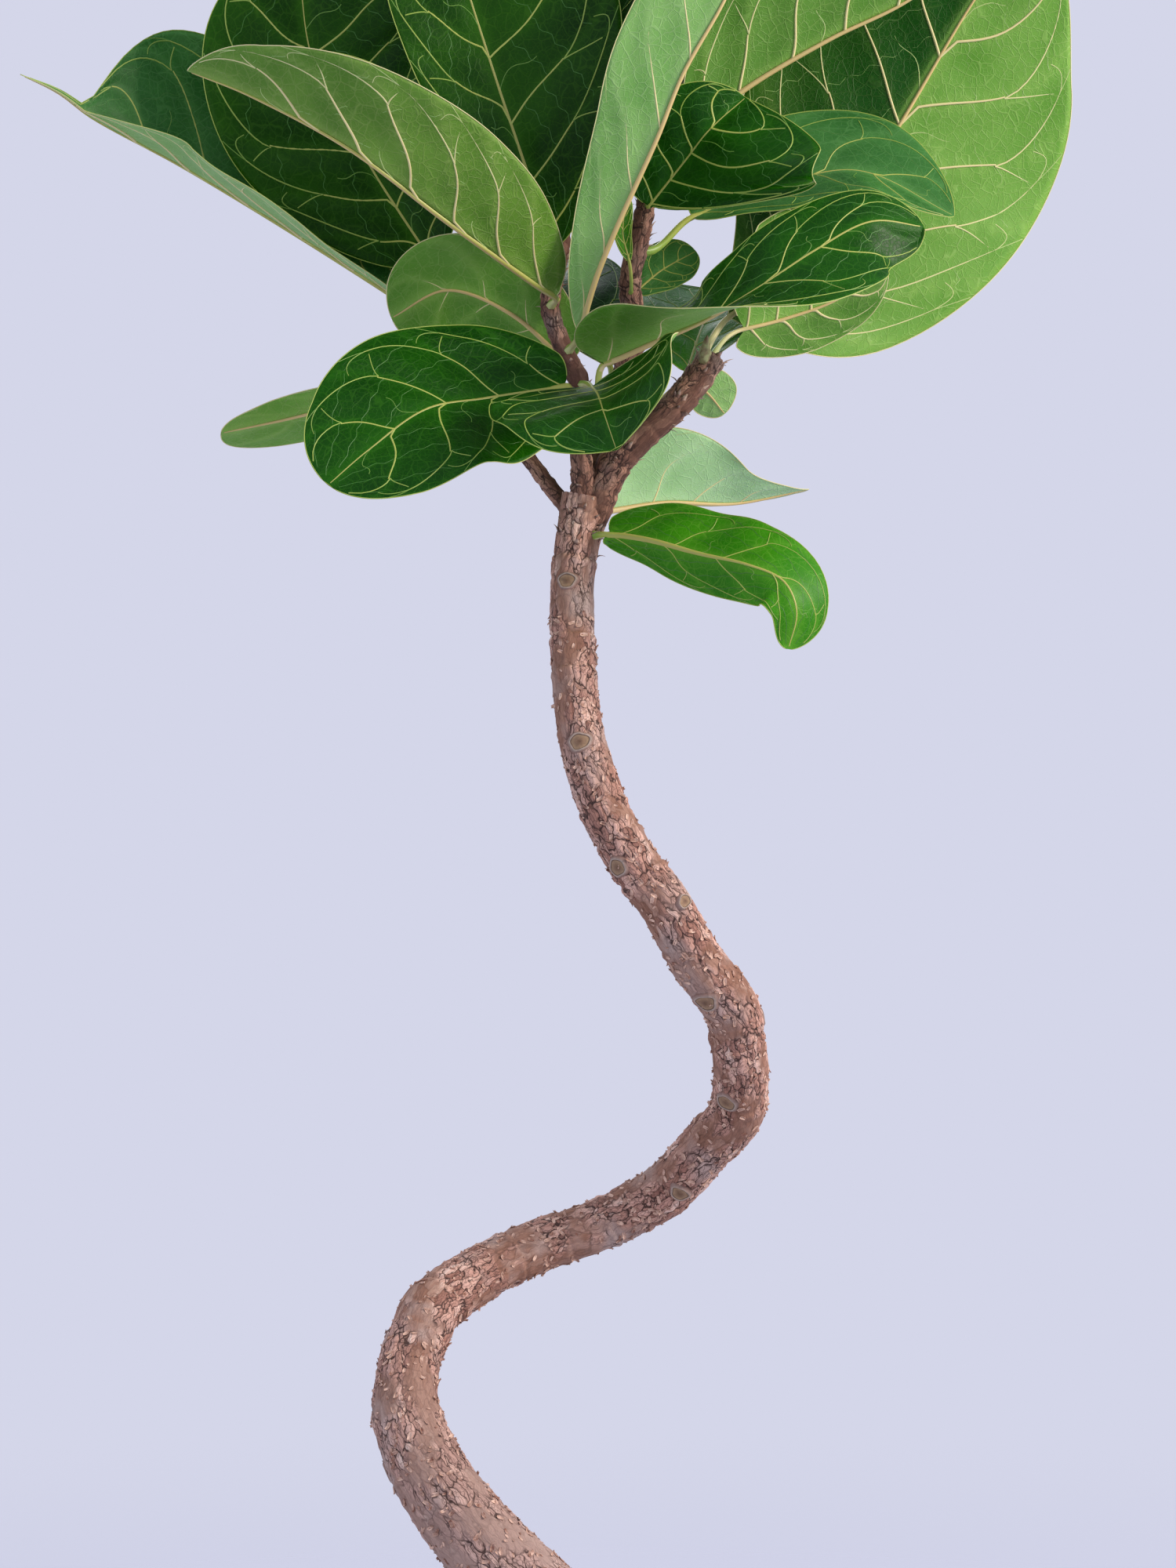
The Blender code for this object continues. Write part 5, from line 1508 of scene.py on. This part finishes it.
# %% Dry sheath
def scale_material():
    """Dry sheath: thin, brittle and matt, dark brown at the base and straw coloured at the torn tip."""
    material, tree, shader = new_material("dry_sheath", 0.75, Specular_IOR_Level=0.3)
    out = add_node(tree, "ShaderNodeAttribute", attribute_name="out").outputs["Fac"]
    place = add_node(tree, "ShaderNodeTexCoord").outputs["Object"]
    grain = add_node(tree, "ShaderNodeTexNoise", {"Vector": place, "Scale": 1 / (3 * MM), "Detail": 3.0})
    total = add_node(tree, "ShaderNodeMath", {
        0: grain.outputs["Fac"], 1: 0.9, 2: out}, operation="MULTIPLY_ADD")
    ramp = add_node(tree, "ShaderNodeValToRGB", {"Fac": total.outputs[0]})
    set_stops(ramp, [(0.3, "#3a2824"), (0.6, "#5e443b"), (0.85, "#86685a"), (1.0, "#b09684")])
    tree.links.new(ramp.outputs["Color"], shader.inputs["Base Color"])
    return material


SHEATH = scale_material()

# Share of a scale's length and its width there as a share of its widest
SCALE_STATIONS = ((0.0, 0.8), (0.25, 1.0), (0.5, 0.8), (0.75, 0.45), (0.95, 0.12))
# The four corners of its cupped section: across, and out from the stem
SCALE_SECTION = ((-1, -0.35), (0, 0.12), (1, -0.35), (0, -0.10))
print("corners of a scale:", len(SCALE_STATIONS) * len(SCALE_SECTION))

# %% [markdown]
# Three scales go to each leaf that is there now. More stand along the young stems, where leaves have
# fallen, and on the trunk they are worn to stumps.

# %% Scales round the nodes
def sheath_scale(verts, faces, outs, base, out, ahead, length, wide, tilt):
    """Adds one cupped scale that stands on the bark at base and tilts out."""
    across = np.cross(ahead, out)
    first = len(verts)
    for s, w in SCALE_STATIONS:
        rise = length * s * math.cos(tilt * (0.4 + s))
        away = length * s * math.sin(tilt * (0.4 + s))
        middle = base + ahead * rise + out * away
        for x, back in SCALE_SECTION:
            verts.append(middle + across * x * wide * w + out * back * wide * w)
            outs.append(s)
    for k in range(4):
        for j in range(4):
            a = first + 4 * k + j
            b = first + 4 * k + (j + 1) % 4
            faces.append((a, b, b + 4, a + 4))
    faces.append(tuple(first + j for j in reversed(range(4))))
    faces.append(tuple(first + 16 + j for j in range(4)))


def drawn_side(ahead):
    """A direction square to the stem, drawn at random."""
    turn = RANDOM.uniform(0, 6.28)
    side = unit(np.cross(ahead, [0.3, 1.0, 0.2]))
    return side * math.cos(turn) + np.cross(ahead, side) * math.sin(turn)


verts = []
faces = []
outs = []
for leaf in LEAVES.values():
    point, ahead, radius = on_branch(leaf["branch"], leaf["height"])
    for _ in range(3):
        away = drawn_side(ahead)
        foot = point + away * (radius - 0.5 * MM) - ahead * RANDOM.uniform(-3, 5) * MM
        length = RANDOM.uniform(5, 11) * MM
        wide = RANDOM.uniform(1.3, 2.6) * MM
        sheath_scale(verts, faces, outs, foot, away, ahead, length, wide, RANDOM.uniform(0.15, 0.8))

# Where scales of fallen leaves are left: branch, from and to which height, how many, and how much of each
OLD_NODES = [
    ("centre", 0.82, 1.05, 34, 1.0),
    ("right", 0.835, 0.905, 34, 1.0),
    ("back", 0.86, 1.06, 26, 1.0),
    ("left", 0.815, 0.955, 16, 1.0),
    ("trunk", 0.775, 0.812, 26, 1.0),
    ("trunk", 0.30, 0.775, 34, 0.55),
]
for branch, low_end, high_end, count, worn in OLD_NODES:
    for _ in range(count):
        point, ahead, radius = on_branch(branch, RANDOM.uniform(low_end, high_end))
        away = drawn_side(ahead)
        foot = point + away * (radius - 0.6 * MM)
        length = RANDOM.uniform(3.5, 8) * worn * MM
        wide = RANDOM.uniform(0.9, 2.2) * worn * MM
        sheath_scale(verts, faces, outs, foot, away, ahead, length, wide, RANDOM.uniform(0.2, 1.0))
scales = mesh_from("sheath_scales", verts, [], faces, [("out", "FLOAT", np.array(outs))], (SHEATH,))
finish_piece(scales, "trunk")
print("corners of all scales:", len(verts))

# %% [markdown]
# ## Loose flakes and crumbs
#
# Flakes curl off the older bark, and the potting mix is a heap of crumbs and bark chips. There are
# thousands of them, too many to place in a loop, so both are one small shape scattered over a surface.
# The tree spreads points over the faces, turns each copy to lie on its surface with a drawn spin and
# tilt, and makes the copies real.

# %% Node tree: scatter over a surface
scatter_tree, given = new_tree("scatter over a surface", {
    "Shape": "NodeSocketObject", "Density": "NodeSocketFloat", "Smallest": "NodeSocketFloat",
    "Largest": "NodeSocketFloat", "Tilt": "NodeSocketFloat", "Seed": "NodeSocketInt",
    "Finish": "NodeSocketMaterial"})
spread = add_node(scatter_tree, "GeometryNodeDistributePointsOnFaces", {
    "Mesh": given.outputs["Geometry"], "Selection": named(scatter_tree, "scatter_here", "BOOLEAN"),
    "Density": given.outputs["Density"], "Seed": given.outputs["Seed"]})
minus_tilt = add_node(scatter_tree, "ShaderNodeMath", {
    0: given.outputs["Tilt"], 1: -1.0}, operation="MULTIPLY")
tip_over = add_node(scatter_tree, "FunctionNodeRandomValue", {
    "Seed": given.outputs["Seed"]}, data_type="FLOAT")
scatter_tree.links.new(minus_tilt.outputs[0], tip_over.inputs[2])
scatter_tree.links.new(given.outputs["Tilt"], tip_over.inputs[3])
spin = add_node(scatter_tree, "FunctionNodeRandomValue", {2: 0.0, 3: 6.283, "Seed": 5}, data_type="FLOAT")
turn = add_node(scatter_tree, "ShaderNodeCombineXYZ", {"X": tip_over.outputs[1], "Z": spin.outputs[1]})
turn = add_node(scatter_tree, "FunctionNodeEulerToRotation", {0: turn.outputs[0]})
laid = add_node(scatter_tree, "FunctionNodeRotateRotation", {
    0: spread.outputs["Rotation"], 1: turn.outputs[0]}, rotation_space="LOCAL")
size = add_node(scatter_tree, "FunctionNodeRandomValue", {
    2: given.outputs["Smallest"], 3: given.outputs["Largest"], "Seed": 9}, data_type="FLOAT")
shape = add_node(scatter_tree, "GeometryNodeObjectInfo", {0: given.outputs["Shape"]})
copies = add_node(scatter_tree, "GeometryNodeInstanceOnPoints", {
    "Points": spread.outputs["Points"], "Instance": shape.outputs["Geometry"],
    "Rotation": laid.outputs[0], "Scale": size.outputs[1]})
real = add_node(scatter_tree, "GeometryNodeRealizeInstances", {"Geometry": copies.outputs[0]})
clad = add_node(scatter_tree, "GeometryNodeSetMaterial", {
    "Geometry": real.outputs[0], "Material": given.outputs["Finish"]})
add_node(scatter_tree, "NodeGroupOutput", {0: clad.outputs[0]})
print("scatter tree:", len(scatter_tree.nodes), "nodes")

# %% [markdown]
# A flake is a curled scrap of cork, and a crumb is peat or a chip of bark: both are dry, matt and
# unevenly toned. One material of two tones and a fine grain does for such things, and the names and
# colours tell them apart.

# %% Mottled materials, and a way to scatter
def plain_material(name, dark, light, grain, roughness, **sockets):
    """Two tones that drift over a piece, with a fine bump of the same grain."""
    material, tree, shader = new_material(name, roughness, **sockets)
    place = add_node(tree, "ShaderNodeTexCoord").outputs["Object"]
    drift = add_node(tree, "ShaderNodeTexNoise", {"Vector": place, "Scale": 1 / grain, "Detail": 4.0})
    ramp = add_node(tree, "ShaderNodeValToRGB", {"Fac": drift.outputs["Fac"]})
    set_stops(ramp, [(0.35, dark), (0.65, light)])
    tree.links.new(ramp.outputs["Color"], shader.inputs["Base Color"])
    relief = add_node(tree, "ShaderNodeBump", {
        "Height": drift.outputs["Fac"], "Strength": 0.4, "Distance": 0.3 * MM})
    tree.links.new(relief.outputs["Normal"], shader.inputs["Normal"])
    return material


def scatter_on(name, ground, shape, selection, **values):
    """A new object with copies of shape over the selected faces of ground, each with flat facets."""
    mesh = ground.data.copy()
    obj = bpy.data.objects.new(name, mesh)
    bpy.context.scene.collection.objects.link(obj)
    layer = mesh.attributes.new("scatter_here", "BOOLEAN", "FACE")
    layer.data.foreach_set("value", selection)
    grow(obj, scatter_tree, Shape=shape, **values)
    for face in obj.data.polygons:
        face.use_smooth = False
    return obj


print("ready to scatter")

# %% [markdown]
# The flake has to be simple, as a great many are strewn: two curved sheets of six faces and an edge. It
# lies on the bark, cupped across and turned up at one end, as a drying scrap does.

# %% Flakes on the bark
flake_verts = []
for x in (-1.0, 0.0, 1.0):
    for y in (-1.0, -0.3, 0.5, 1.0):
        lift = 0.25 * x * x + 0.35 * max(y, 0) ** 2
        edge_in = 1 - 0.35 * abs(y) ** 3 * abs(x)
        flake_verts.append((0.5 * x * edge_in, y, lift))
flake_verts += [(x, y, z - 0.14) for x, y, z in flake_verts]
flake_faces = []
for i in range(2):
    for j in range(3):
        a = i * 4 + j
        flake_faces += [(a, a + 4, a + 5, a + 1), (a + 12, a + 13, a + 17, a + 16)]
for a, b in ((0, 1), (1, 2), (2, 3), (3, 7), (7, 11), (11, 10), (10, 9), (9, 8), (8, 4), (4, 0)):
    flake_faces.append((a, b, b + 12, a + 12))
flake = mesh_from("flake_shape", flake_verts, [], flake_faces)
FLAKE = plain_material("bark_flake", "#8a6050", "#e0bfaa", 5 * MM, 0.8, Specular_IOR_Level=0.25)
FLAKY_BELOW = SOIL_TOP + 0.74
old_bark = np.array([face.center.z for face in trunk.data.polygons]) < FLAKY_BELOW
strewn = dict(Density=16000.0, Smallest=1.0 * MM, Largest=2.6 * MM, Tilt=0.35, Seed=3)
flakes = scatter_on("bark_flakes", trunk, flake, old_bark, Finish=FLAKE, **strewn)
finish_piece(flakes, "trunk")
print("flakes:", len(flakes.data.polygons) // len(flake_faces))

# %% [markdown]
# ## Buds
#
# A resting bud is a pointed cone of overlapping sheaths, dull green brown. Each sheath could be a piece,
# but at this size only their wrapped edges show, so the bud is one cone with spiral ridges.

# %% Buds
BUD = plain_material("bud_sheath", "#6f5a3c", "#9aa06a", 4 * MM, 0.6)
# Branch, height, the way it points, length and radius, both in mm
BUDS = {
    "bud_centre": ("centre", TIP, (-0.02, -0.05, 1.0), 22, 3.2),
    "bud_back": ("back", 1.020, (-0.75, -0.75, 0.5), 13, 3.2),
    "bud_right": ("right", 0.897, (0.10, -0.75, 0.75), 22, 5.0),
}


def build_bud(name, branch, height, points_to, length, radius):
    """One bud, rooted a millimetre deep in the bark."""
    towards = unit(np.array(points_to, float))
    point, _, _ = on_branch(branch, height)
    start, _ = leave_branch(branch, height, point + towards)
    start = start - towards * MM
    across = unit(np.cross(towards, [0.3, 1.0, 0.1]))
    side = np.cross(towards, across)
    verts = []
    rings = 26
    sides = 28
    for k in range(rings):
        u = k / (rings - 1)
        w = (1 - u) ** 0.75 * (0.62 + 0.9 * math.sin(min(u * 4, math.pi / 2))) / 1.45 + 0.01
        for j in range(sides):
            a = 2 * math.pi * j / sides
            ridge = 1 + 0.10 * math.sin(3 * a + 9 * u) + 0.05 * math.sin(7 * a - 14 * u)
            way = across * math.cos(a) + side * math.sin(a)
            verts.append(start + towards * length * MM * u + w * ridge * radius * MM * way)
    faces = []
    for k in range(rings - 1):
        for j in range(sides):
            a = k * sides + j
            b = k * sides + (j + 1) % sides
            faces.append((a, b, b + sides, a + sides))
    faces.append(tuple(reversed(range(sides))))
    faces.append(tuple((rings - 1) * sides + j for j in range(sides)))
    finish_piece(mesh_from(name + "_sheaths", verts, [], faces, (), (BUD,)), name)


for name, row in BUDS.items():
    build_bud(name, *row)
print("buds:", len(BUDS))

# %% [markdown]
# ## Pot and potting mix
#
# The pot is thrown stoneware with a satin off-white glaze: smooth and softly shiny, with a rolled rim and
# a few fine iron specks. A cylinder with bevels would do for the body, but a thrown pot is round all
# over, so it is turned as one closed profile, just as the potter's hand drew it.

# %% A profile to turn
POT_BASE_RADIUS = 0.105
POT_WALL = 0.009
POT_FLOOR = 0.012
RIM = 2.0 * MM


def wall_radius(z):
    """Radius of the outside of the pot at a height."""
    return POT_BASE_RADIUS + (POT_TOP_RADIUS - POT_BASE_RADIUS) * z / POT_HEIGHT


def turn_profile(name, profile, sides, materials):
    """A closed lathe shape from (radius, height) points that start and end on the axis."""
    verts = []
    faces = []
    inner = profile[1:-1]
    for r, z in inner:
        verts += [(r * math.cos(a), r * math.sin(a), z) for a in np.arange(sides) * 2 * math.pi / sides]
    for k in range(len(inner) - 1):
        for j in range(sides):
            a = k * sides + j
            b = k * sides + (j + 1) % sides
            faces.append((a, b, b + sides, a + sides))
    verts += [(0, 0, profile[0][1]), (0, 0, profile[-1][1])]
    last = (len(inner) - 1) * sides
    end = len(verts)
    for j in range(sides):
        k = (j + 1) % sides
        faces += [(k, j, end - 2), (last + j, last + k, end - 1)]
    return mesh_from(name, verts, [], faces, (), materials)


print("pot", round(2 * POT_TOP_RADIUS / MM), "mm across at the rim")

# %% [markdown]
# A satin glaze scatters light a little under a clear coat, so it has a soft, wide highlight. Iron in the
# clay melts through as specks. Thrown by a noise they would be blobs, so each is the small round middle
# of a Voronoi cell.

# %% Glaze
SPECK_SPACING = 14 * MM


def glaze_material():
    """Fired satin glaze: a soft clear gloss over off-white, with iron specks about a millimetre wide."""
    material, tree, shader = new_material("glazed_stoneware", 0.34, Coat_Weight=0.35, Coat_Roughness=0.18)
    place = add_node(tree, "ShaderNodeTexCoord").outputs["Object"]
    speck = add_node(tree, "ShaderNodeTexVoronoi", {"Vector": place, "Scale": 1 / SPECK_SPACING})
    spot_size = add_node(tree, "ShaderNodeMapRange", {
        "Value": speck.outputs["Distance"], "From Min": 0.03, "From Max": 0.07, "To Min": 0.7,
        "To Max": 0.0})
    drift = add_node(tree, "ShaderNodeTexNoise", {"Vector": place, "Scale": 1 / (60 * MM), "Detail": 2.0})
    tone = add_node(tree, "ShaderNodeValToRGB", {"Fac": drift.outputs["Fac"]})
    set_stops(tone, [(0.35, "#dedad0"), (0.65, "#e9e6de")])
    skin = add_node(tree, "ShaderNodeMix", {
        "Factor": spot_size.outputs[0], 6: tone.outputs["Color"], 7: colour("#8a7560")
    }, data_type="RGBA")
    tree.links.new(skin.outputs[2], shader.inputs["Base Color"])
    return material


print("specks", round(SPECK_SPACING / MM), "mm apart")

# %% [markdown]
# The profile runs up the outside, over the rolled rim and down the inside to the floor, in one line.

# %% Pot
def rounding(centre_r, centre_z, size, start, end, steps=6):
    """Points of a quarter turn, for a rolled edge."""
    return [(centre_r + size * math.cos(math.radians(a)), centre_z + size * math.sin(math.radians(a)))
            for a in np.linspace(start, end, steps)]


wall_top = POT_HEIGHT - 3 * RIM
profile = [
    (0, 0),
    (POT_BASE_RADIUS - RIM, 0),
    *rounding(POT_BASE_RADIUS - RIM, RIM, RIM, -90, 0),
    *[(wall_radius(z), z) for z in np.linspace(POT_FLOOR, wall_top, 24)],
    *rounding(POT_TOP_RADIUS - RIM, POT_HEIGHT - RIM, RIM, 0, 90),
    *rounding(POT_TOP_RADIUS - POT_WALL + RIM, POT_HEIGHT - RIM, RIM, 90, 180),
    *[(wall_radius(z) - POT_WALL, z) for z in np.linspace(wall_top, POT_FLOOR + RIM, 24)],
    (wall_radius(POT_FLOOR) - POT_WALL - RIM, POT_FLOOR),
    (0, POT_FLOOR),
]
pot = turn_profile("pot_glazed", profile, 160, (glaze_material(),))
finish_piece(pot, "pot")
print("pot faces:", len(pot.data.polygons))

# %% [markdown]
# The mix is peat and bark, pressed into a slight mound and left uneven by watering. Crumbs alone would
# let light through, so they lie on a closed body whose top is rings of points, raised by the mound and a
# few crossed waves.

# %% Body of the potting mix
SOIL = plain_material("potting_mix", "#2a1d16", "#4a362a", 7 * MM, 0.95, Specular_IOR_Level=0.2)
CRUMB = plain_material("bark_chips", "#33231a", "#7a5a42", 9 * MM, 0.9, Specular_IOR_Level=0.25)
edge_radius = wall_radius(SOIL_TOP) - POT_WALL - 0.3 * MM
RINGS = 44
SPOKES = 120
verts = []
faces = []
for k in range(RINGS):
    r = edge_radius * (k + 1) / RINGS
    for j in range(SPOKES):
        a = 2 * math.pi * j / SPOKES
        x = r * math.cos(a)
        y = r * math.sin(a)
        rough_z = (
            math.sin(90 * x + 40 * y) + math.sin(140 * y - 70 * x + 2) + math.sin(230 * x + 1)) * 0.5 * MM
        mound = SOIL_MOUND * (1 - (r / edge_radius) ** 2) * 0.8
        verts.append((x, y, SOIL_TOP + mound - 0.4 * MM + rough_z * min(1, (RINGS - k) / 6)))
for k in range(RINGS - 1):
    for j in range(SPOKES):
        a = k * SPOKES + j
        b = k * SPOKES + (j + 1) % SPOKES
        faces.append((a, a + SPOKES, b + SPOKES, b))
verts.append((0, 0, SOIL_TOP + SOIL_MOUND * 0.8))
faces += [(j, (j + 1) % SPOKES, len(verts) - 1) for j in range(SPOKES)]
low_radius = wall_radius(POT_FLOOR) - POT_WALL - 1.2 * MM
low_ring = len(verts)
for j in range(SPOKES):
    a = 2 * math.pi * j / SPOKES
    verts.append((low_radius * math.cos(a), low_radius * math.sin(a), POT_FLOOR + 0.5 * MM))
rim_ring = (RINGS - 1) * SPOKES
for j in range(SPOKES):
    k = (j + 1) % SPOKES
    faces.append((rim_ring + j, low_ring + j, low_ring + k, rim_ring + k))
faces.append(tuple(low_ring + j for j in reversed(range(SPOKES))))
soil = mesh_from("potting_mix_mound", verts, [], faces, (), (SOIL,))
print("mix", round(2 * edge_radius / MM), "mm across")

# %% [markdown]
# The crumbs are uneven blocks of six faces. Strewn thickly and tilted, they hide the body below.

# %% Crumbs
crumb_verts = [(x * (1.3 if y > 0 else 0.8), y, z) for x in (-1, 1) for y in (-1, 1) for z in (-0.4, 0.8)]
crumb_faces = [(0, 1, 3, 2), (4, 6, 7, 5), (0, 4, 5, 1), (2, 3, 7, 6), (0, 2, 6, 4), (1, 5, 7, 3)]
crumb = mesh_from("crumb_shape", crumb_verts, [], crumb_faces)
centres = [face.center for face in soil.data.polygons]
on_top = np.array([c.z > SOIL_TOP - 2 * MM and c.xy.length < edge_radius - 6 * MM for c in centres])
strewn = dict(Density=75000.0, Smallest=0.7 * MM, Largest=2.3 * MM, Tilt=0.9, Seed=11)
crumbs = scatter_on("potting_mix_crumbs", soil, crumb, on_top, Finish=CRUMB, **strewn)
for helper in (flake, crumb):
    bpy.data.objects.remove(helper)
finish_piece(soil, "soil")
finish_piece(crumbs, "soil")
print("crumbs:", len(crumbs.data.polygons) // len(crumb_faces))

# %% [markdown]
# ## Studio
#
# The plant stands before an even, pale surround, as in a photographer's cove, which lights it from all
# sides. The camera is level with the upper half of the plant. A soft lamp to the right shapes the leaves
# and the bark, a weak one to the left opens the shadows, and one behind draws the margins.

# %% Camera and surround
SURROUND = "#d4d6e9"
VIEW_DISTANCE = 2.361
VIEW_HEIGHT = 0.8575

scene = bpy.context.scene
scene.view_settings.view_transform = "Standard"
camera = bpy.data.objects.new("camera", bpy.data.cameras.new("camera"))
scene.collection.objects.link(camera)
camera.data.lens = 85
camera.data.sensor_fit = "VERTICAL"
camera.data.sensor_height = 36
camera.location = (0, -VIEW_DISTANCE, VIEW_HEIGHT)
camera.rotation_euler = (math.radians(90), 0, 0)
scene.camera = camera

world = bpy.data.worlds.new("surround")
world.use_nodes = True
scene.world = world
world.node_tree.nodes["Background"].inputs["Color"].default_value = colour(SURROUND)
world.node_tree.nodes["Background"].inputs["Strength"].default_value = 1.0
print("camera at", [round(c, 3) for c in camera.location])

# %% [markdown]
# The lamps are squares of light. The larger a lamp is, the softer are its shadows, so the fill is twice
# the key.

# %% Lamps
def lamp(name, place, aim, size, watts, screen_hex):
    """A square soft lamp that points at a spot on the plant."""
    light = bpy.data.lights.new(name, "AREA")
    light.energy = watts
    light.size = size
    light.color = colour(screen_hex)[:3]
    obj = bpy.data.objects.new(name, light)
    obj.location = place
    obj.rotation_euler = (Vector(aim) - Vector(place)).to_track_quat("-Z", "Y").to_euler()
    scene.collection.objects.link(obj)


lamp("key", (2.1, -0.9, 2.0), (0, 0, 1.0), 0.8, 62, "#fff2e6")
lamp("fill", (-2.0, -1.6, 1.6), (0, 0, 1.0), 1.6, 4, "#eef2ff")
lamp("back", (-0.4, 2.0, 2.4), (0, 0, 1.1), 1.2, 14, "#ffffff")
print("lamps:", len(bpy.data.lights))

# %% [markdown]
# The floor is seamless paper: matt, and the colour of the surround, so that only the pot's soft shadow
# shows. A sheet that sweeps up behind would block other views, so the floor is a disc that fades out
# towards its edge.

# %% Floor
FLOOR_RADIUS = 3.0
FLOOR_SIDES = 96
floor_material = bpy.data.materials.new("floor_paper")
floor_material.use_nodes = True
tree = floor_material.node_tree
place = add_node(tree, "ShaderNodeTexCoord").outputs["Object"]
flat = add_node(tree, "ShaderNodeVectorMath", {0: place}, operation="LENGTH")
fade = add_node(tree, "ShaderNodeMapRange", {
    "Value": flat.outputs["Value"], "From Min": 0.5, "From Max": 2.6
}, interpolation_type="SMOOTHSTEP")
clear = add_node(tree, "ShaderNodeBsdfTransparent")
blend = add_node(tree, "ShaderNodeMixShader", {
    0: fade.outputs[0], 1: tree.nodes["Principled BSDF"].outputs[0], 2: clear.outputs[0]})
tree.nodes["Principled BSDF"].inputs["Base Color"].default_value = colour("#c8cad8")
tree.nodes["Principled BSDF"].inputs["Roughness"].default_value = 0.9
tree.links.new(blend.outputs[0], tree.nodes["Material Output"].inputs["Surface"])
around = [2 * math.pi * k / FLOOR_SIDES for k in range(FLOOR_SIDES)]
edge = [(FLOOR_RADIUS * math.cos(a), FLOOR_RADIUS * math.sin(a), -0.5 * MM) for a in around]
floor = mesh_from("floor", edge, [], [tuple(range(FLOOR_SIDES))], (), (floor_material,))
print("floor", 2 * FLOOR_RADIUS, "m across")
